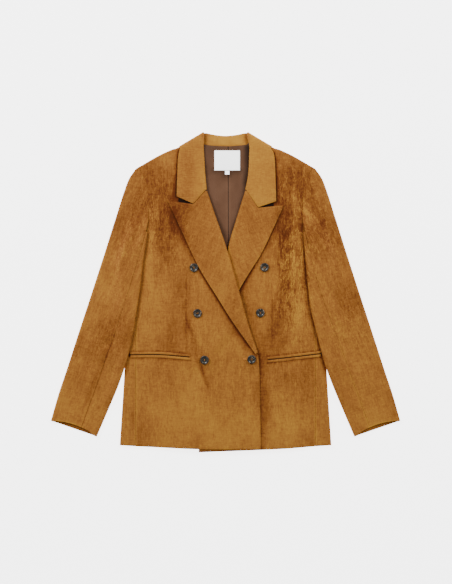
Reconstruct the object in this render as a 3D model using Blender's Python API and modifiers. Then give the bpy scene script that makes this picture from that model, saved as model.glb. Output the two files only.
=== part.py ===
"""Double breasted blazer in pile cloth, laid flat on its back with the fronts buttoned.

Metres, +Z up, the floor at z = 0. X runs across the shoulders, Y from the hem to the collar.
"right" and "left" are the wearer's: the right front lies at -X and laps over the left one.
Every cloth piece is a face sampled on a grid of seam lines, given its wall by Solidify.
"""
import bpy
import bmesh
from math import acos, cos, hypot, pi, sin
from mathutils.bvhtree import BVHTree
import numpy as np

# ---- cloths -------------------------------------------------------------------------------
CLOTH = 0.0020            # pile cloth with its fusing
LEAF = 0.0022             # collar and lapels, two cloths turned and pressed
SATIN = 0.0010            # lining
TAPE = 0.0010             # woven label
WELT = 0.0012             # pocket welt above the front it is set in
SEAM = 0.0004             # parting between two pieces sewn edge to edge
SLEEVE_TRIM = 0.0006      # what each sleeve half is cut back from its seam
LAY = 0.0005              # parting between cloths that lie loose on each other
LAPEL_LAY = 0.0010        # a lapel springs a little more off its front
LAPEL_ROLL = (CLOTH + 2 * LAPEL_LAY + 2 * LEAF) / 2

# ---- how high the layers lie --------------------------------------------------------------
COLLAR_LIFT = 0.0030      # the back rides up over the collar's fall
NAPE_RISE = (0.115, 0.042, 0.350)   # half width, half height and middle of that rise
NAPE_FADE = (1.05, 2.60)  # in those half widths, where it ends and where the back is down
LINING_BOTTOM = CLOTH + 0.0006
FRONT_TOP = 0.0091        # outer face of a front in the middle of the chest
SIDE_SINK = 0.0015        # the fronts press flatter towards the side seams
SIDE_TOP = FRONT_TOP - SIDE_SINK
CHEST_SINK = (0.120, 0.175)         # from the middle out, where they do
SLACK, SLACK_ACROSS, SLACK_ALONG = 0.0003, 0.035, 0.060   # the left front lies a little loose
CLIMB = (-0.085, -0.015)  # from the left edge, where the right front climbs over the left
OFF_LAPEL = (0.012, 0.045)          # past the left lapel's edge, where it is down again
LAPEL_CLIMB = (-0.190, -0.150)      # up the body, where it climbs over that lapel
FACING_CLIMB = (-0.195, -0.145)     # and over its own facing
OVER_FACING = (-0.060, -0.018)      # from its own roll line, how far in the facing lifts it
SLEEVE_THICK = 0.0074     # a sleeve pressed flat, over both walls
ARM_DROP = (0.006, 0.036) # past the body's edge, the arm comes down to the floor over this
HEAD_RISE = (0.108, 0.200)  # and over these heights its top meets the shoulder
COLLAR_MID = 0.0060       # the collar turns about this height at each shoulder
STAND_OFFSET = 0.0010     # from there to the face of the stand
FALL_OFFSET = 0.0060      # and to the face of the fall
ROLL_RADIUS = (FALL_OFFSET - STAND_OFFSET) / 2
LEAF_SPRING = 0.0008      # the collar's points stand off the chest
MERGE = 0.00002           # grid points closer than this are one

# ---- outline of the body, half widths and heights ------------------------------------------
SIDE_FOLD = (
    # name,     across,  up
    ("hem",      0.2421, -0.3505),
    ("hip",      0.2313, -0.1792),
    ("waist",    0.2290, -0.0872),
    ("underarm", 0.2278, 0.0773),
)
UNDER_ARM_EDGE = SIDE_FOLD + (
    # above the side fold, the arm leaves the body along the back of the armhole
    ("hind_pitch", 0.2020, 0.1445),
    ("pitch_low",  0.1905, 0.1656),
    ("pitch",      0.1500, 0.2000),
)
FRONT_SIDE_SEAM = (("hem", 0.2050, -0.3526), ("top", 0.2048, 0.0968))
BACK_SIDE_SEAM = (
    ("hem",   0.1554, -0.3550),
    ("waist", 0.1500, -0.1500),
)
HEM_MIDDLE = (("right", -0.0634, -0.3588), ("left", 0.1200, -0.3590))
BACK_HEM_DROP = -0.3560
SHOULDER_SEAM = (
    ("middle", 0.1550, 0.3112),
    ("yoke",   0.1250, 0.3252),
    ("collar", 0.1050, 0.3322),
    ("neck",   0.0626, 0.3575),
)
ARMHOLE_LOW = (
    ("turn",      0.1864, 0.1244),
    ("side_seam", 0.2048, 0.0968),
    ("underarm",  0.2150, 0.0870),
)

# ---- opening edges: hem to the end of the roll, then up the roll line to the gorge -----------
FRONT_EDGE = {
    "right": (("hem", 0.0804, -0.3595), ("hip", 0.0781, -0.2022), ("break", 0.0745, -0.1440)),
    "left": (("hem", -0.0613, -0.3662), ("hip", -0.0599, -0.2022), ("break", -0.0580, -0.1440)),
}
ROLL_LINE = {
    "right": (
        ("break",      0.0739, -0.1378),
        ("waist",      0.0514, -0.0711),
        ("top_button", 0.0307, 0.0048),
        ("crossing",   0.0038, 0.0968),
        ("chest",     -0.0254, 0.1819),
        ("gorge",     -0.0422, 0.2316),
    ),
    "left": (
        ("break",     -0.0576, -0.1378),
        ("waist",     -0.0355, -0.0711),
        ("top_button", -0.0148, 0.0048),
        ("crossing",   0.0040, 0.0968),
        ("chest",      0.0255, 0.1700),
        ("gorge",      0.0447, 0.2316),
    ),
}
LAPEL_EDGE = {
    "right": (
        ("break",    0.0698, -0.1431),
        ("waist",    0.0185, -0.0711),
        ("button",  -0.0164, -0.0156),
        ("chest",   -0.0606, 0.0561),
        ("belly",   -0.0967, 0.1325),
        ("peak",    -0.1314, 0.2077),
    ),
    "left": (
        ("break",   -0.0519, -0.1424),
        ("waist",   -0.0026, -0.0711),
        ("button",   0.0307, 0.0039),
        ("chest",    0.0585, 0.0508),
        ("belly",    0.0861, 0.0968),
        ("peak",     0.1328, 0.1980),
    ),
}
NOTCH = {"right": (-0.0735, 0.2010), "left": (0.0739, 0.1925)}
NOTCH_PARTING = (0.0004, 0.0010)   # the collar keeps this far out and up from the lapel's notch
FACING_TURN = 0.014       # the facing that shows inside the roll

# ---- collar stations, from the gorge round to the middle of the back ------------------------
# name, turn in degrees, fold at the roll (x, y), neck seam (x, y), free edge (x, y)
COLLAR_STATIONS = {
    "right": (
        ("gorge",      0, (-0.0429, 0.2340), (-0.0472, 0.2364), (-0.1117, 0.2187)),
        ("collarbone", 0, (-0.0452, 0.2567), (-0.0558, 0.2601), (-0.1110, 0.2463)),
        ("throat",     0, (-0.0470, 0.2808), (-0.0624, 0.2843), (-0.1098, 0.2751)),
        ("neck",       0, (-0.0486, 0.3084), (-0.0657, 0.3119), (-0.1087, 0.3027)),
        ("neck_top",   0, (-0.0498, 0.3337), (-0.0650, 0.3337), (-0.1064, 0.3199)),
    ),
    "left": (
        ("gorge",      0, (0.0449, 0.2340), (0.0492, 0.2364), (0.1156, 0.2075)),
        ("collarbone", 0, (0.0498, 0.2567), (0.0604, 0.2601), (0.1146, 0.2417)),
        ("throat",     0, (0.0526, 0.2808), (0.0666, 0.2843), (0.1137, 0.2705)),
        ("neck",       0, (0.0537, 0.3084), (0.0670, 0.3119), (0.1124, 0.2992)),
        ("neck_top",   0, (0.0544, 0.3337), (0.0655, 0.3337), (0.1098, 0.3176)),
    ),
}
SHOULDER_TURN = (0, 30, 60, 90, 120, 150, 180)
SHOULDER_STATION = ((0.0489, 0.3625), (0.0604, 0.3555), (0.1043, 0.3298))
BACK_STATIONS = (
    ("nape_side", (0.0450, 0.3650), (0.0491, 0.3374), (0.0956, 0.3234)),
    ("nape",      (0.0266, 0.3604), (0.0289, 0.3349), (0.0519, 0.3130)),
)
BACK_MIDDLE = ((0.0, 0.3577), (0.0, 0.3344), (0.0, 0.3096))

# ---- sleeves: one row a section, across the arm from the outer fold to the inner one ---------
# up to "pitch_low" the inner point is on the armhole seam; the shares run from the inner point
# name, outer (x, y), inner right (x), inner left (x), inner (y), back armhole, forearm, hindarm
SLEEVE_SECTIONS = (
    ("crown",     0.2058, 0.2815, 0.1985, 0.1985, 0.2862, 0.00, 0.00, 0.00),
    ("cap",       0.2199, 0.2613, 0.1824, 0.1832, 0.2509, 0.06, 0.00, 0.06),
    ("head",      0.2312, 0.2330, 0.1763, 0.1770, 0.2187, 0.10, 0.00, 0.10),
    ("pitch",     0.2398, 0.2072, 0.1763, 0.1763, 0.1865, 0.15, 0.00, 0.15),
    ("pitch_low", 0.2472, 0.1831, 0.1768, 0.1760, 0.1612, 0.20, 0.00, 0.45),
    ("fold_top",  0.2542, 0.1612, 0.1774, 0.1770, 0.1366, 0.32, 0.06, 0.62),
    ("underarm",  0.2782, 0.0853, 0.1878, 0.1830, 0.0692, 0.459, 0.14, 0.72),
    ("biceps",    0.2938, 0.0370, 0.1945, 0.1880, 0.0117, 0.42, 0.22, 0.75),
    ("arm",       0.3102, -0.0136, 0.2027, 0.1955, -0.0435, 0.40, 0.29, 0.77),
    ("elbow",     0.3302, -0.0745, 0.2131, 0.2110, -0.1056, 0.38, 0.34, 0.78),
    ("forearm",   0.3478, -0.1286, 0.2267, 0.2255, -0.1608, 0.38, 0.38, 0.78),
    ("low_arm",   0.3634, -0.1769, 0.2439, 0.2439, -0.2114, 0.38, 0.38, 0.78),
    ("wrist",     0.3826, -0.2344, 0.2676, 0.2676, -0.2677, 0.38, 0.37, 0.78),
    ("cuff",      0.3998, -0.2942, 0.2945, 0.2945, -0.3305, 0.38, 0.36, 0.78),
)
UNDERARM = 6                  # the section at which the under sleeve is whole
FLANK_ROWS = (3.3, 4, 5, 5.75)   # above it, the sections down its side of the hind seam
SHORTEST_STRIP = 0.01         # the least share of a section that the strip on top takes
CROWN_THICK = 0.0048
CUFF_BOW = 0.0085             # the top of the cuff is drawn back, so the lining side shows

# ---- how finely the faces are cut -------------------------------------------------------------
SIDE_ROWS = 14                # up a side seam
EDGE_ROWS = 5                 # up an opening edge
ROLL_ROWS = 8                 # up a roll line
BODY_COLUMNS = 16             # across a front
SHOULDER_COLUMNS = 8          # along a shoulder of the back
LINING_ROWS = 18
LINING_SHOULDER = 4           # along a shoulder of the lining
LAPEL_ROWS = 15
LEAF_COLUMNS = 6              # across a lapel or the collar, past its fold
LEAF_TURNS = 6                # round that fold
FOLD_TURNS = 4                # round a side fold or a sleeve's fold
FOLD_STEPS = (0.0, 0.40, 0.75, 0.96, 1.0)   # round each half of a shoulder fold
TOP_COLUMNS = 8               # across the upper half of a top sleeve
STRIP_COLUMNS = 2             # across the strip of an under sleeve that shows on top
UNDER_COLUMNS = 4             # across each half of an under sleeve below
CURVE_STEPS = 24              # points between two of a named line

# ---- small pieces ---------------------------------------------------------------------------
WELT_HEIGHT = 0.0072
SLIT = 0.0004                 # from the middle of a slit to the edge of its welts
POCKETS = {
    # slit of each pocket, inner end to outer end
    "right": ((-0.0799, -0.1486), (-0.1500, -0.1432), (-0.2180, -0.1436)),
    "left": ((0.0953, -0.1548), (0.1500, -0.1490), (0.2180, -0.1409)),
}
BUTTONS = (
    # name, wearer's front it sits on, x, y
    ("button_right_top",    "right", -0.0719, 0.0557),
    ("button_right_middle", "right", -0.0638, -0.0485),
    ("button_right_low",    "right", -0.0477, -0.1546),
    ("button_left_top",     "left", 0.0891, 0.0566),
    ("button_left_middle",  "left", 0.0795, -0.0474),
    ("button_edge_low",     "right", 0.0595, -0.1534),
)
BUTTON_PROFILE = (
    # radius, height: dished middle, raised rim, rounded back
    (0.0000, 0.0022), (0.0056, 0.0023), (0.0072, 0.0034), (0.0087, 0.0036),
    (0.0099, 0.0027), (0.0099, 0.0015), (0.0078, 0.0003), (0.0000, 0.0000),
)
BUTTON_STEPS = 20
BUTTON_SEAT = 0.0085      # radius of the ring that the button rests on
SEAT_POINTS = 12          # where on that ring the cloth below is felt for
LABEL_BOX = (-0.0270, 0.0346, 0.2778, 0.3255)       # left, right, bottom, top
TAB_BOX = (-0.0024, 0.0082, 0.2680, 0.2770)
LINING_SEAM = (("hem", 0.0040, -0.3340), ("chest", 0.0045, 0.1000), ("nape", 0.0040, 0.3336))
LINING_SIDE = (("hem", 0.1480, -0.3300), ("waist", 0.1450, -0.1000), ("armhole", 0.1500, 0.1000),
               ("shoulder", 0.1550, 0.2750))
LINING_NECK = (0.004, 0.010)      # the lining's corner lies this far in and down from the neck
LINING_NAPE = 0.0006              # and its nape seam this far below the collar's

FINISHES = {
    # name: colour, roughness, metallic
    "pile_cloth": ((0.402, 0.180, 0.031, 1.0), 0.85, 0.0),
    "satin_lining": ((0.205, 0.102, 0.065, 1.0), 0.45, 0.0),
    "woven_label": ((0.840, 0.860, 0.860, 1.0), 0.70, 0.0),
    "horn_button": ((0.045, 0.050, 0.042, 1.0), 0.25, 0.0),
}
SIDES = (("right", -1.0), ("left", 1.0))


# ---- curves and patches ---------------------------------------------------------------------
def clear_scene():
    """Start from nothing."""
    for old in list(bpy.data.objects):
        bpy.data.objects.remove(old, do_unlink=True)


def ramp(value, start, end):
    """Smooth step: 0 before start, 1 past end."""
    t = min(max((value - start) / (end - start), 0.0), 1.0)
    return t * t * (3 - 2 * t)


def points_of(rows, mirror=1.0):
    """The x, y points of a named table, its across values given a side."""
    return [(mirror * row[1], row[2]) for row in rows]


def curve(points, segments):
    """A smooth curve through the points, cut into equal lengths."""
    p = np.array(points, float)
    if len(p) > 2:
        ends = np.vstack((2 * p[0] - p[1], p, 2 * p[-1] - p[-2]))
        t = np.linspace(0, 1, CURVE_STEPS, endpoint=False)[:, None]
        spans = []
        for a, b, c, d in zip(ends, ends[1:], ends[2:], ends[3:]):
            spans.append(0.5 * (2 * b + (c - a) * t + (2 * a - 5 * b + 4 * c - d) * t ** 2
                                + (3 * b - a - 3 * c + d) * t ** 3))
        p = np.vstack(spans + [p[-1:]])
    run = np.concatenate(([0.0], np.cumsum(np.linalg.norm(np.diff(p, axis=0), axis=1))))
    at = np.linspace(0, run[-1], segments + 1)
    return np.column_stack([np.interp(at, run, p[:, k]) for k in range(p.shape[1])])


def joined(*stretches):
    """Several stretches end to end, each corner kept once."""
    return np.vstack([stretches[0]] + [s[1:] for s in stretches[1:]])


def across_line(line, side):
    """Unit vectors square to a line of points, to its left for side > 0."""
    run = np.gradient(np.array(line, float), axis=0)
    run /= np.linalg.norm(run, axis=1)[:, None]
    return side * np.column_stack((-run[:, 1], run[:, 0]))


def patch(low, high, start, end):
    """Coons patch: rows climb the start and end lines, columns run along low and high."""
    u = np.linspace(0, 1, len(low))[None, :, None]
    v = np.linspace(0, 1, len(start))[:, None, None]
    corners = ((1 - u) * (1 - v) * low[0] + u * (1 - v) * low[-1]
               + (1 - u) * v * high[0] + u * v * high[-1])
    return ((1 - v) * low[None] + v * high[None] + (1 - u) * start[:, None]
            + u * end[:, None] - corners)


def raised(plan, height):
    """Give each x, y point of a grid its height."""
    z = np.array([[height(x, y) for x, y in row] for row in plan])
    return np.dstack((plan, z))


def x_at(rows, y, mirror=1.0):
    """The x of a named line at a height on the body."""
    line = sorted((row[2], mirror * row[1]) for row in rows)
    return float(np.interp(y, [p[0] for p in line], [p[1] for p in line]))


def surface_of(grid):
    """The faces of a grid, to seat buttons on."""
    rows, columns, _ = grid.shape
    quads = [(i * columns + j, i * columns + j + 1, (i + 1) * columns + j + 1,
              (i + 1) * columns + j) for i in range(rows - 1) for j in range(columns - 1)]
    return BVHTree.FromPolygons([tuple(p) for p in grid.reshape(-1, 3)], quads)


def level_on(surface, x, y):
    """How high a surface lies at x, y."""
    return surface.ray_cast((x, y, 1.0), (0.0, 0.0, -1.0))[0].z


# ---- objects --------------------------------------------------------------------------------
def make_collection():
    """The collection that holds the whole blazer."""
    blazer = bpy.data.collections.new("double_breasted_blazer")
    bpy.context.scene.collection.children.link(blazer)
    return blazer


def finish(name, kind):
    """A piece's plain material."""
    colour, roughness, metallic = FINISHES[kind]
    material = bpy.data.materials.new(f"{name}_{kind}")
    material.use_nodes = True
    shader = material.node_tree.nodes["Principled BSDF"]
    shader.inputs["Base Color"].default_value = colour
    shader.inputs["Roughness"].default_value = roughness
    shader.inputs["Metallic"].default_value = metallic
    return material


def place(name, mesh, kind):
    """Puts a mesh into the blazer as a piece with its material."""
    mesh.materials.append(finish(name, kind))
    piece = bpy.data.objects.new(name, mesh)
    blazer.objects.link(piece)
    return piece


def cloth(name, grids, wall, kind="pile_cloth", flip=False):
    """A piece of cloth from the grids of its outer face, its wall laid inside them."""
    bm = bmesh.new()
    for grid in grids:
        verts = [[bm.verts.new(point) for point in row] for row in grid]
        for low, high in zip(verts, verts[1:]):
            for a, b, c, d in zip(low, low[1:], high[1:], high):
                bm.faces.new((a, d, c, b) if flip else (a, b, c, d))
    bmesh.ops.remove_doubles(bm, verts=bm.verts, dist=MERGE)
    mesh = bpy.data.meshes.new(name)
    bm.to_mesh(mesh)
    bm.free()
    mesh.shade_smooth()
    piece = place(name, mesh, kind)
    shell = piece.modifiers.new("wall", "SOLIDIFY")
    shell.thickness = wall
    shell.offset = -1.0
    shell.use_even_offset = False
    return piece


# ---- how the cloths lie on each other -------------------------------------------------------
def back_bottom(x, y):
    """The back lies on the floor, and rides up over the collar's fall at the nape."""
    across, along, middle = NAPE_RISE
    return COLLAR_LIFT * (1 - ramp(hypot(x / across, (y - middle) / along), *NAPE_FADE))


def lining_top(x, y):
    """The outer face of the lining, on the back."""
    return back_bottom(x, y) + LINING_BOTTOM + SATIN


def opening_x(side, y):
    """Where a front's edge or roll line lies at a height on the body."""
    return x_at(FRONT_EDGE[side] + ROLL_LINE[side], y)


def front_top(side, x, y):
    """The fronts lie flat, and the right one climbs over the left front, its lapel and facing."""
    sunk = ramp(abs(x), *CHEST_SINK)
    level = FRONT_TOP - SIDE_SINK * sunk
    if side == "left":
        return level + SLACK * (1 - sunk) * (sin(x / SLACK_ACROSS) * cos(y / SLACK_ALONG)) ** 2
    over = ramp(x - opening_x("left", y), *CLIMB)
    past_lapel = x - x_at(LAPEL_EDGE["left"], y)
    over_lapel = over * (1 - ramp(past_lapel, *OFF_LAPEL)) * ramp(y, *LAPEL_CLIMB)
    past_roll = x - opening_x("right", y)
    over_facing = over * ramp(y, *FACING_CLIMB) * ramp(past_roll, *OVER_FACING)
    return level + (CLOTH + LAY) * over + (LEAF + LAPEL_LAY) * (over_lapel + over_facing)


def arm_on_body(x, y):
    """1 where the arm lies on the body's side, 0 where it has come down to the floor."""
    return 1 - ramp(abs(x) - x_at(UNDER_ARM_EDGE, y), *ARM_DROP)


def sleeve_bottom(x, y):
    """The lowest face of a sleeve, on the body's side or on the floor."""
    return (SIDE_TOP + LAY) * arm_on_body(x, y)


def sleeve_top(x, y):
    """The highest face of a sleeve."""
    on_body = arm_on_body(x, y) * (1 - ramp(y, *HEAD_RISE))
    return SLEEVE_THICK + (SIDE_TOP + LAY) * on_body


# ---- seam lines shared by two pieces ----------------------------------------------------------
def sections(side):
    """The sleeve's sections on one side: outer and inner points, and the seams' shares."""
    mirror = dict(SIDES)[side]
    rows = []
    for _, outer_x, outer_y, right_x, left_x, inner_y, back, fore, hind in SLEEVE_SECTIONS:
        inner_x = right_x if side == "right" else left_x
        rows.append((mirror * outer_x, outer_y, mirror * inner_x, inner_y, back, fore, hind))
    return np.array(rows)


def on_section(row, share):
    """The point at a share of a section, from its inner to its outer point."""
    return row[2:4] + (row[0:2] - row[2:4]) * share


def section_at(rows, k):
    """A section between two of the table's, at a fractional row."""
    i = min(int(k), len(rows) - 2)
    return rows[i] + (rows[i + 1] - rows[i]) * (k - i)


def shoulder_line(side, segments):
    """The shoulder's fold, from the crown of the sleeve to the neck."""
    mirror = dict(SIDES)[side]
    return curve([tuple(sections(side)[0][2:4])] + points_of(SHOULDER_SEAM, mirror), segments)


def collar_stations(side):
    """Stations of one half collar from the gorge to the nape: turn, roll, neck, free edge."""
    mirror = dict(SIDES)[side]
    rows = [(turn, roll, neck, free) for _, turn, roll, neck, free in COLLAR_STATIONS[side]]
    corner = [(mirror * x, y) for x, y in SHOULDER_STATION]
    rows += [(turn, *corner) for turn in SHOULDER_TURN]
    for _, roll, neck, free in BACK_STATIONS:
        rows.append((180, *[(mirror * x, y) for x, y in (roll, neck, free)]))
    return [(turn, np.array(r), np.array(n), np.array(f)) for turn, r, n, f in rows]


def neck_seam(side):
    """The front's neck seam under the collar, from the gorge to the shoulder."""
    return np.array([n for _, _, n, _ in collar_stations(side)[:5]])


def roll_line(side, segments):
    """The fold of a lapel, from the end of the opening edge to the gorge."""
    return curve(points_of(ROLL_LINE[side]), segments)


# ---- body -------------------------------------------------------------------------------------
def fold_rows(edge, inward, top, bottom, weight, upper):
    """Rows that turn a face round its half of the shoulder fold, to the middle of the fold."""
    rows = []
    for step in FOLD_STEPS:
        row = []
        for point, into, high, low, w in zip(edge, inward, top, bottom, weight):
            r = (high - low) / 2
            angle = step * acos(SEAM / 2 / r)
            x, y = point + into * r * (1 - sin(angle))
            turned = (high + low) / 2 + r * cos(angle) * (1 if upper else -1)
            flat = high if upper else low
            row.append((x, y, flat + w * (turned - flat)))
        rows.append(row)
    return np.array(rows)


def shoulder_levels(side):
    """Heights of the front and the back along the shoulder, even between the back's columns."""
    coarse = shoulder_line(side, SHOULDER_COLUMNS)
    at = np.linspace(0, SHOULDER_COLUMNS, BODY_COLUMNS + 1)
    run = range(SHOULDER_COLUMNS + 1)
    top = np.interp(at, run, [front_top(side, x, y) for x, y in coarse])
    bottom = np.interp(at, run, [back_bottom(x, y) for x, y in coarse])
    return top, bottom


def make_front(side, mirror):
    """A front: side seam and armhole outside, opening edge, roll and neck seam inside."""
    armhole = [row[2:4] for row in sections(side)[:5]][::-1]
    line = shoulder_line(side, BODY_COLUMNS)
    top, bottom = shoulder_levels(side)
    fold = fold_rows(line, across_line(line, mirror), top, bottom, np.ones(len(line)), True)
    high = fold[0][:, :2]
    armhole[-1] = high[0]

    outer = joined(curve(points_of(FRONT_SIDE_SEAM, mirror), SIDE_ROWS),
                   np.array(points_of(ARMHOLE_LOW[1::-1], mirror) + [tuple(armhole[0])]),
                   np.array(armhole))
    roll = roll_line(side, ROLL_ROWS)
    roll = roll + across_line(roll, -mirror) * (LAPEL_ROLL - LAY)
    neck = neck_seam(side) + np.array((mirror * SEAM, 0.0))
    edge = curve(points_of(FRONT_EDGE[side]), EDGE_ROWS)
    inner = np.vstack((edge, roll, neck, high[-1:]))
    middle = [(x, y) for name, x, y in HEM_MIDDLE if name == side]
    low = curve([outer[0]] + middle + [inner[0]], BODY_COLUMNS)
    grid = raised(patch(low, high, outer, inner), lambda x, y: front_top(side, x, y))
    grid = np.concatenate((grid, fold[1:]))
    cloth(f"front_{side}", [grid], CLOTH, flip=side == "left")
    return surface_of(grid)


def back_armhole(side):
    """The armhole on the back, from the underarm up to the shoulder."""
    return np.array([on_section(row, row[4]) for row in sections(side)[6::-1]])


def make_back():
    """The back: side seams and armholes at its ends, shoulders and neck along its top."""
    ends, tops, weights = [], [], []
    for side, mirror in SIDES:
        seam = points_of(BACK_SIDE_SEAM, mirror) + [tuple(back_armhole(side)[1])]
        ends.append(joined(curve(seam, SIDE_ROWS), back_armhole(side)[1:]))
        tops.append(shoulder_line(side, SHOULDER_COLUMNS))
    nape = [n for _, _, n, _ in collar_stations("right")[-3:]] + [np.array(BACK_MIDDLE[1])]
    nape = nape + [n for _, _, n, _ in collar_stations("left")[:-4:-1]]
    nape = np.array(nape) - np.array((0.0, SEAM))
    right, left = tops[0], tops[1][::-1]
    edge = np.vstack((right, nape[1:-1], left))
    inward = np.vstack((across_line(right, -1), [(0.0, -1.0)] * (len(nape) - 2),
                        across_line(left, -1)))
    weight = [1.0] * len(right) + [0.0] * (len(nape) - 2) + [1.0] * len(left)
    side_of = ["right" if x < 0 else "left" for x in edge[:, 0]]
    top = [front_top(s, x, y) for s, (x, y) in zip(side_of, edge)]
    bottom = [back_bottom(x, y) for x, y in edge]
    fold = fold_rows(edge, inward, top, bottom, weight, False)
    high = fold[0][:, :2]
    start, end = ends
    start[-1], end[-1] = high[0], high[-1]
    low = curve([start[0], (0.0, BACK_HEM_DROP), end[0]], len(edge) - 1)
    grid = raised(patch(low, high, start, end), back_bottom)
    cloth("back", [np.concatenate((grid, fold[1:]))], CLOTH, flip=True)


def half_turn(count, start=-pi / 2, end=pi / 2):
    """Even angles round a fold, both ends included."""
    return [start + (end - start) * k / count for k in range(count + 1)]


def make_side_panel(side, mirror):
    """The panel under the arm, from the front seam round the side fold to the back seam."""
    r = SIDE_TOP / 2
    rows = []
    top_x, top_y = back_armhole(side)[1]
    back_seam = curve(points_of(BACK_SIDE_SEAM) + [(abs(top_x), top_y)], SIDE_ROWS)
    front_seam = curve(points_of(FRONT_SIDE_SEAM), SIDE_ROWS)
    fold_line = curve(points_of(SIDE_FOLD), SIDE_ROWS)
    for (fx, fy), (sx, sy), (bx, by) in zip(front_seam, fold_line, back_seam):
        row = [(fx + SEAM, fy, SIDE_TOP), ((fx + sx - r) / 2, (fy + sy) / 2, SIDE_TOP)]
        for angle in half_turn(FOLD_TURNS):
            row.append((sx - r + r * cos(angle), sy, r - r * sin(angle)))
        row += [(sx - r + (bx + SEAM - sx + r) * t, sy + (by - sy) * t, 0.0)
                for t in (0.33, 0.67, 1.0)]
        rows.append([(mirror * x, y, z) for x, y, z in row])
    cloth(f"side_panel_{side}", [np.array(rows)], CLOTH, flip=side == "right")


def make_lining(side, mirror):
    """Half of the back lining, seamed down the middle of the back."""
    seam = curve(points_of(LINING_SEAM), LINING_ROWS) + np.array((mirror * SEAM / 2, 0.0))
    edge = curve(points_of(LINING_SIDE, mirror), LINING_ROWS)
    nape = [n for _, _, n, _ in collar_stations(side)[-2:]] + [seam[-1]]
    neck_x, neck_y = collar_stations(side)[-3][2]
    corner = (neck_x - mirror * LINING_NECK[0], neck_y - LINING_NECK[1])
    shoulder = curve([edge[-1], corner], LINING_SHOULDER)
    high = np.vstack((shoulder, np.array(nape) - np.array((0.0, LINING_NAPE))))
    low = curve([edge[0], seam[0]], len(high) - 1)
    grid = raised(patch(low, high, edge, seam), lining_top)
    cloth(f"lining_back_{side}", [grid], SATIN, "satin_lining", flip=side == "left")


# ---- lapels ------------------------------------------------------------------------------------
def make_lapel(side, mirror):
    """The facing turned out: a short leg inside the front, the fold, and the lapel on the chest."""
    r = LAPEL_ROLL
    tip = roll_line(side, LAPEL_ROWS)
    out = across_line(tip, -mirror)
    axis = tip + out * r
    edge = curve(points_of(LAPEL_EDGE[side]), LAPEL_ROWS)
    notch = np.array(NOTCH[side])
    top_edge = joined(curve([axis[-1], notch], LEAF_COLUMNS // 2),
                      curve([notch, edge[-1]], LEAF_COLUMNS // 2))
    low_edge = curve([axis[0], edge[0]], LEAF_COLUMNS)
    leaf = patch(low_edge, top_edge, axis, edge)
    rows = []
    for k, centre in enumerate(axis):
        mid = front_top(side, *centre) - CLOTH / 2
        row = []
        for reach in (FACING_TURN, FACING_TURN / 2):
            x, y = centre + out[k] * reach
            row.append((x, y, front_top(side, x, y) - CLOTH / 2 - r))
        for angle in half_turn(LEAF_TURNS):
            x, y = centre - out[k] * r * cos(angle)
            row.append((x, y, mid + r * sin(angle)))
        for x, y in leaf[k][1:]:
            row.append((x, y, front_top(side, x, y) - CLOTH / 2 + r))
        rows.append(row)
    cloth(f"lapel_{side}", [np.array(rows)], LEAF, flip=side == "right")


# ---- collar ------------------------------------------------------------------------------------
def collar_row(turn, roll, neck, free, mirror, notch=None):
    """One section across the collar: stand, fold at the roll, fall."""
    leg = (free - roll) / np.linalg.norm(free - roll)
    side_way = np.array((-leg[1], leg[0])) * mirror
    tilt = turn * pi / 180
    face = np.array((*(side_way * sin(tilt)), cos(tilt)))
    leg3 = np.array((*leg, 0.0))
    axis = np.array((*(roll + leg * ROLL_RADIUS), COLLAR_MID))
    centre = axis + face * (STAND_OFFSET + ROLL_RADIUS)
    foot = np.array((*neck, COLLAR_MID)) + face * STAND_OFFSET
    start = axis + face * STAND_OFFSET
    row = [foot, (foot + start) / 2]
    for angle in half_turn(LEAF_TURNS):
        row.append(centre + (face * sin(angle) - leg3 * cos(angle)) * ROLL_RADIUS)
    spring = LEAF_SPRING * max(cos(tilt), 0)
    for k in range(1, LEAF_COLUMNS + 1):
        share = k / LEAF_COLUMNS
        plan = axis[:2] + (free - axis[:2]) * share
        if notch is not None:
            half = LEAF_COLUMNS // 2
            plan = (axis[:2] + (notch - axis[:2]) * k / half if k <= half
                    else notch + (free - notch) * (k - half) / half)
        row.append(np.array((*plan, COLLAR_MID)) + face * (FALL_OFFSET + spring * share))
    return row


def make_collar():
    """Stand and fall in one, turned under the back at the shoulders."""
    rows = []
    for side, mirror in SIDES:
        half = []
        for k, (turn, roll, neck, free) in enumerate(collar_stations(side)):
            notch = None
            if k == 0:
                notch = np.array(NOTCH[side]) + np.array(NOTCH_PARTING) * (mirror, 1)
            half.append(collar_row(turn, roll, neck, free, mirror, notch))
        rows += half if side == "right" else half[::-1]
        if side == "right":
            middle = [np.array(p) for p in BACK_MIDDLE]
            rows.append(collar_row(180, *middle, mirror))
    cloth("collar", [np.array(rows)], LEAF, flip=True)


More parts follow.
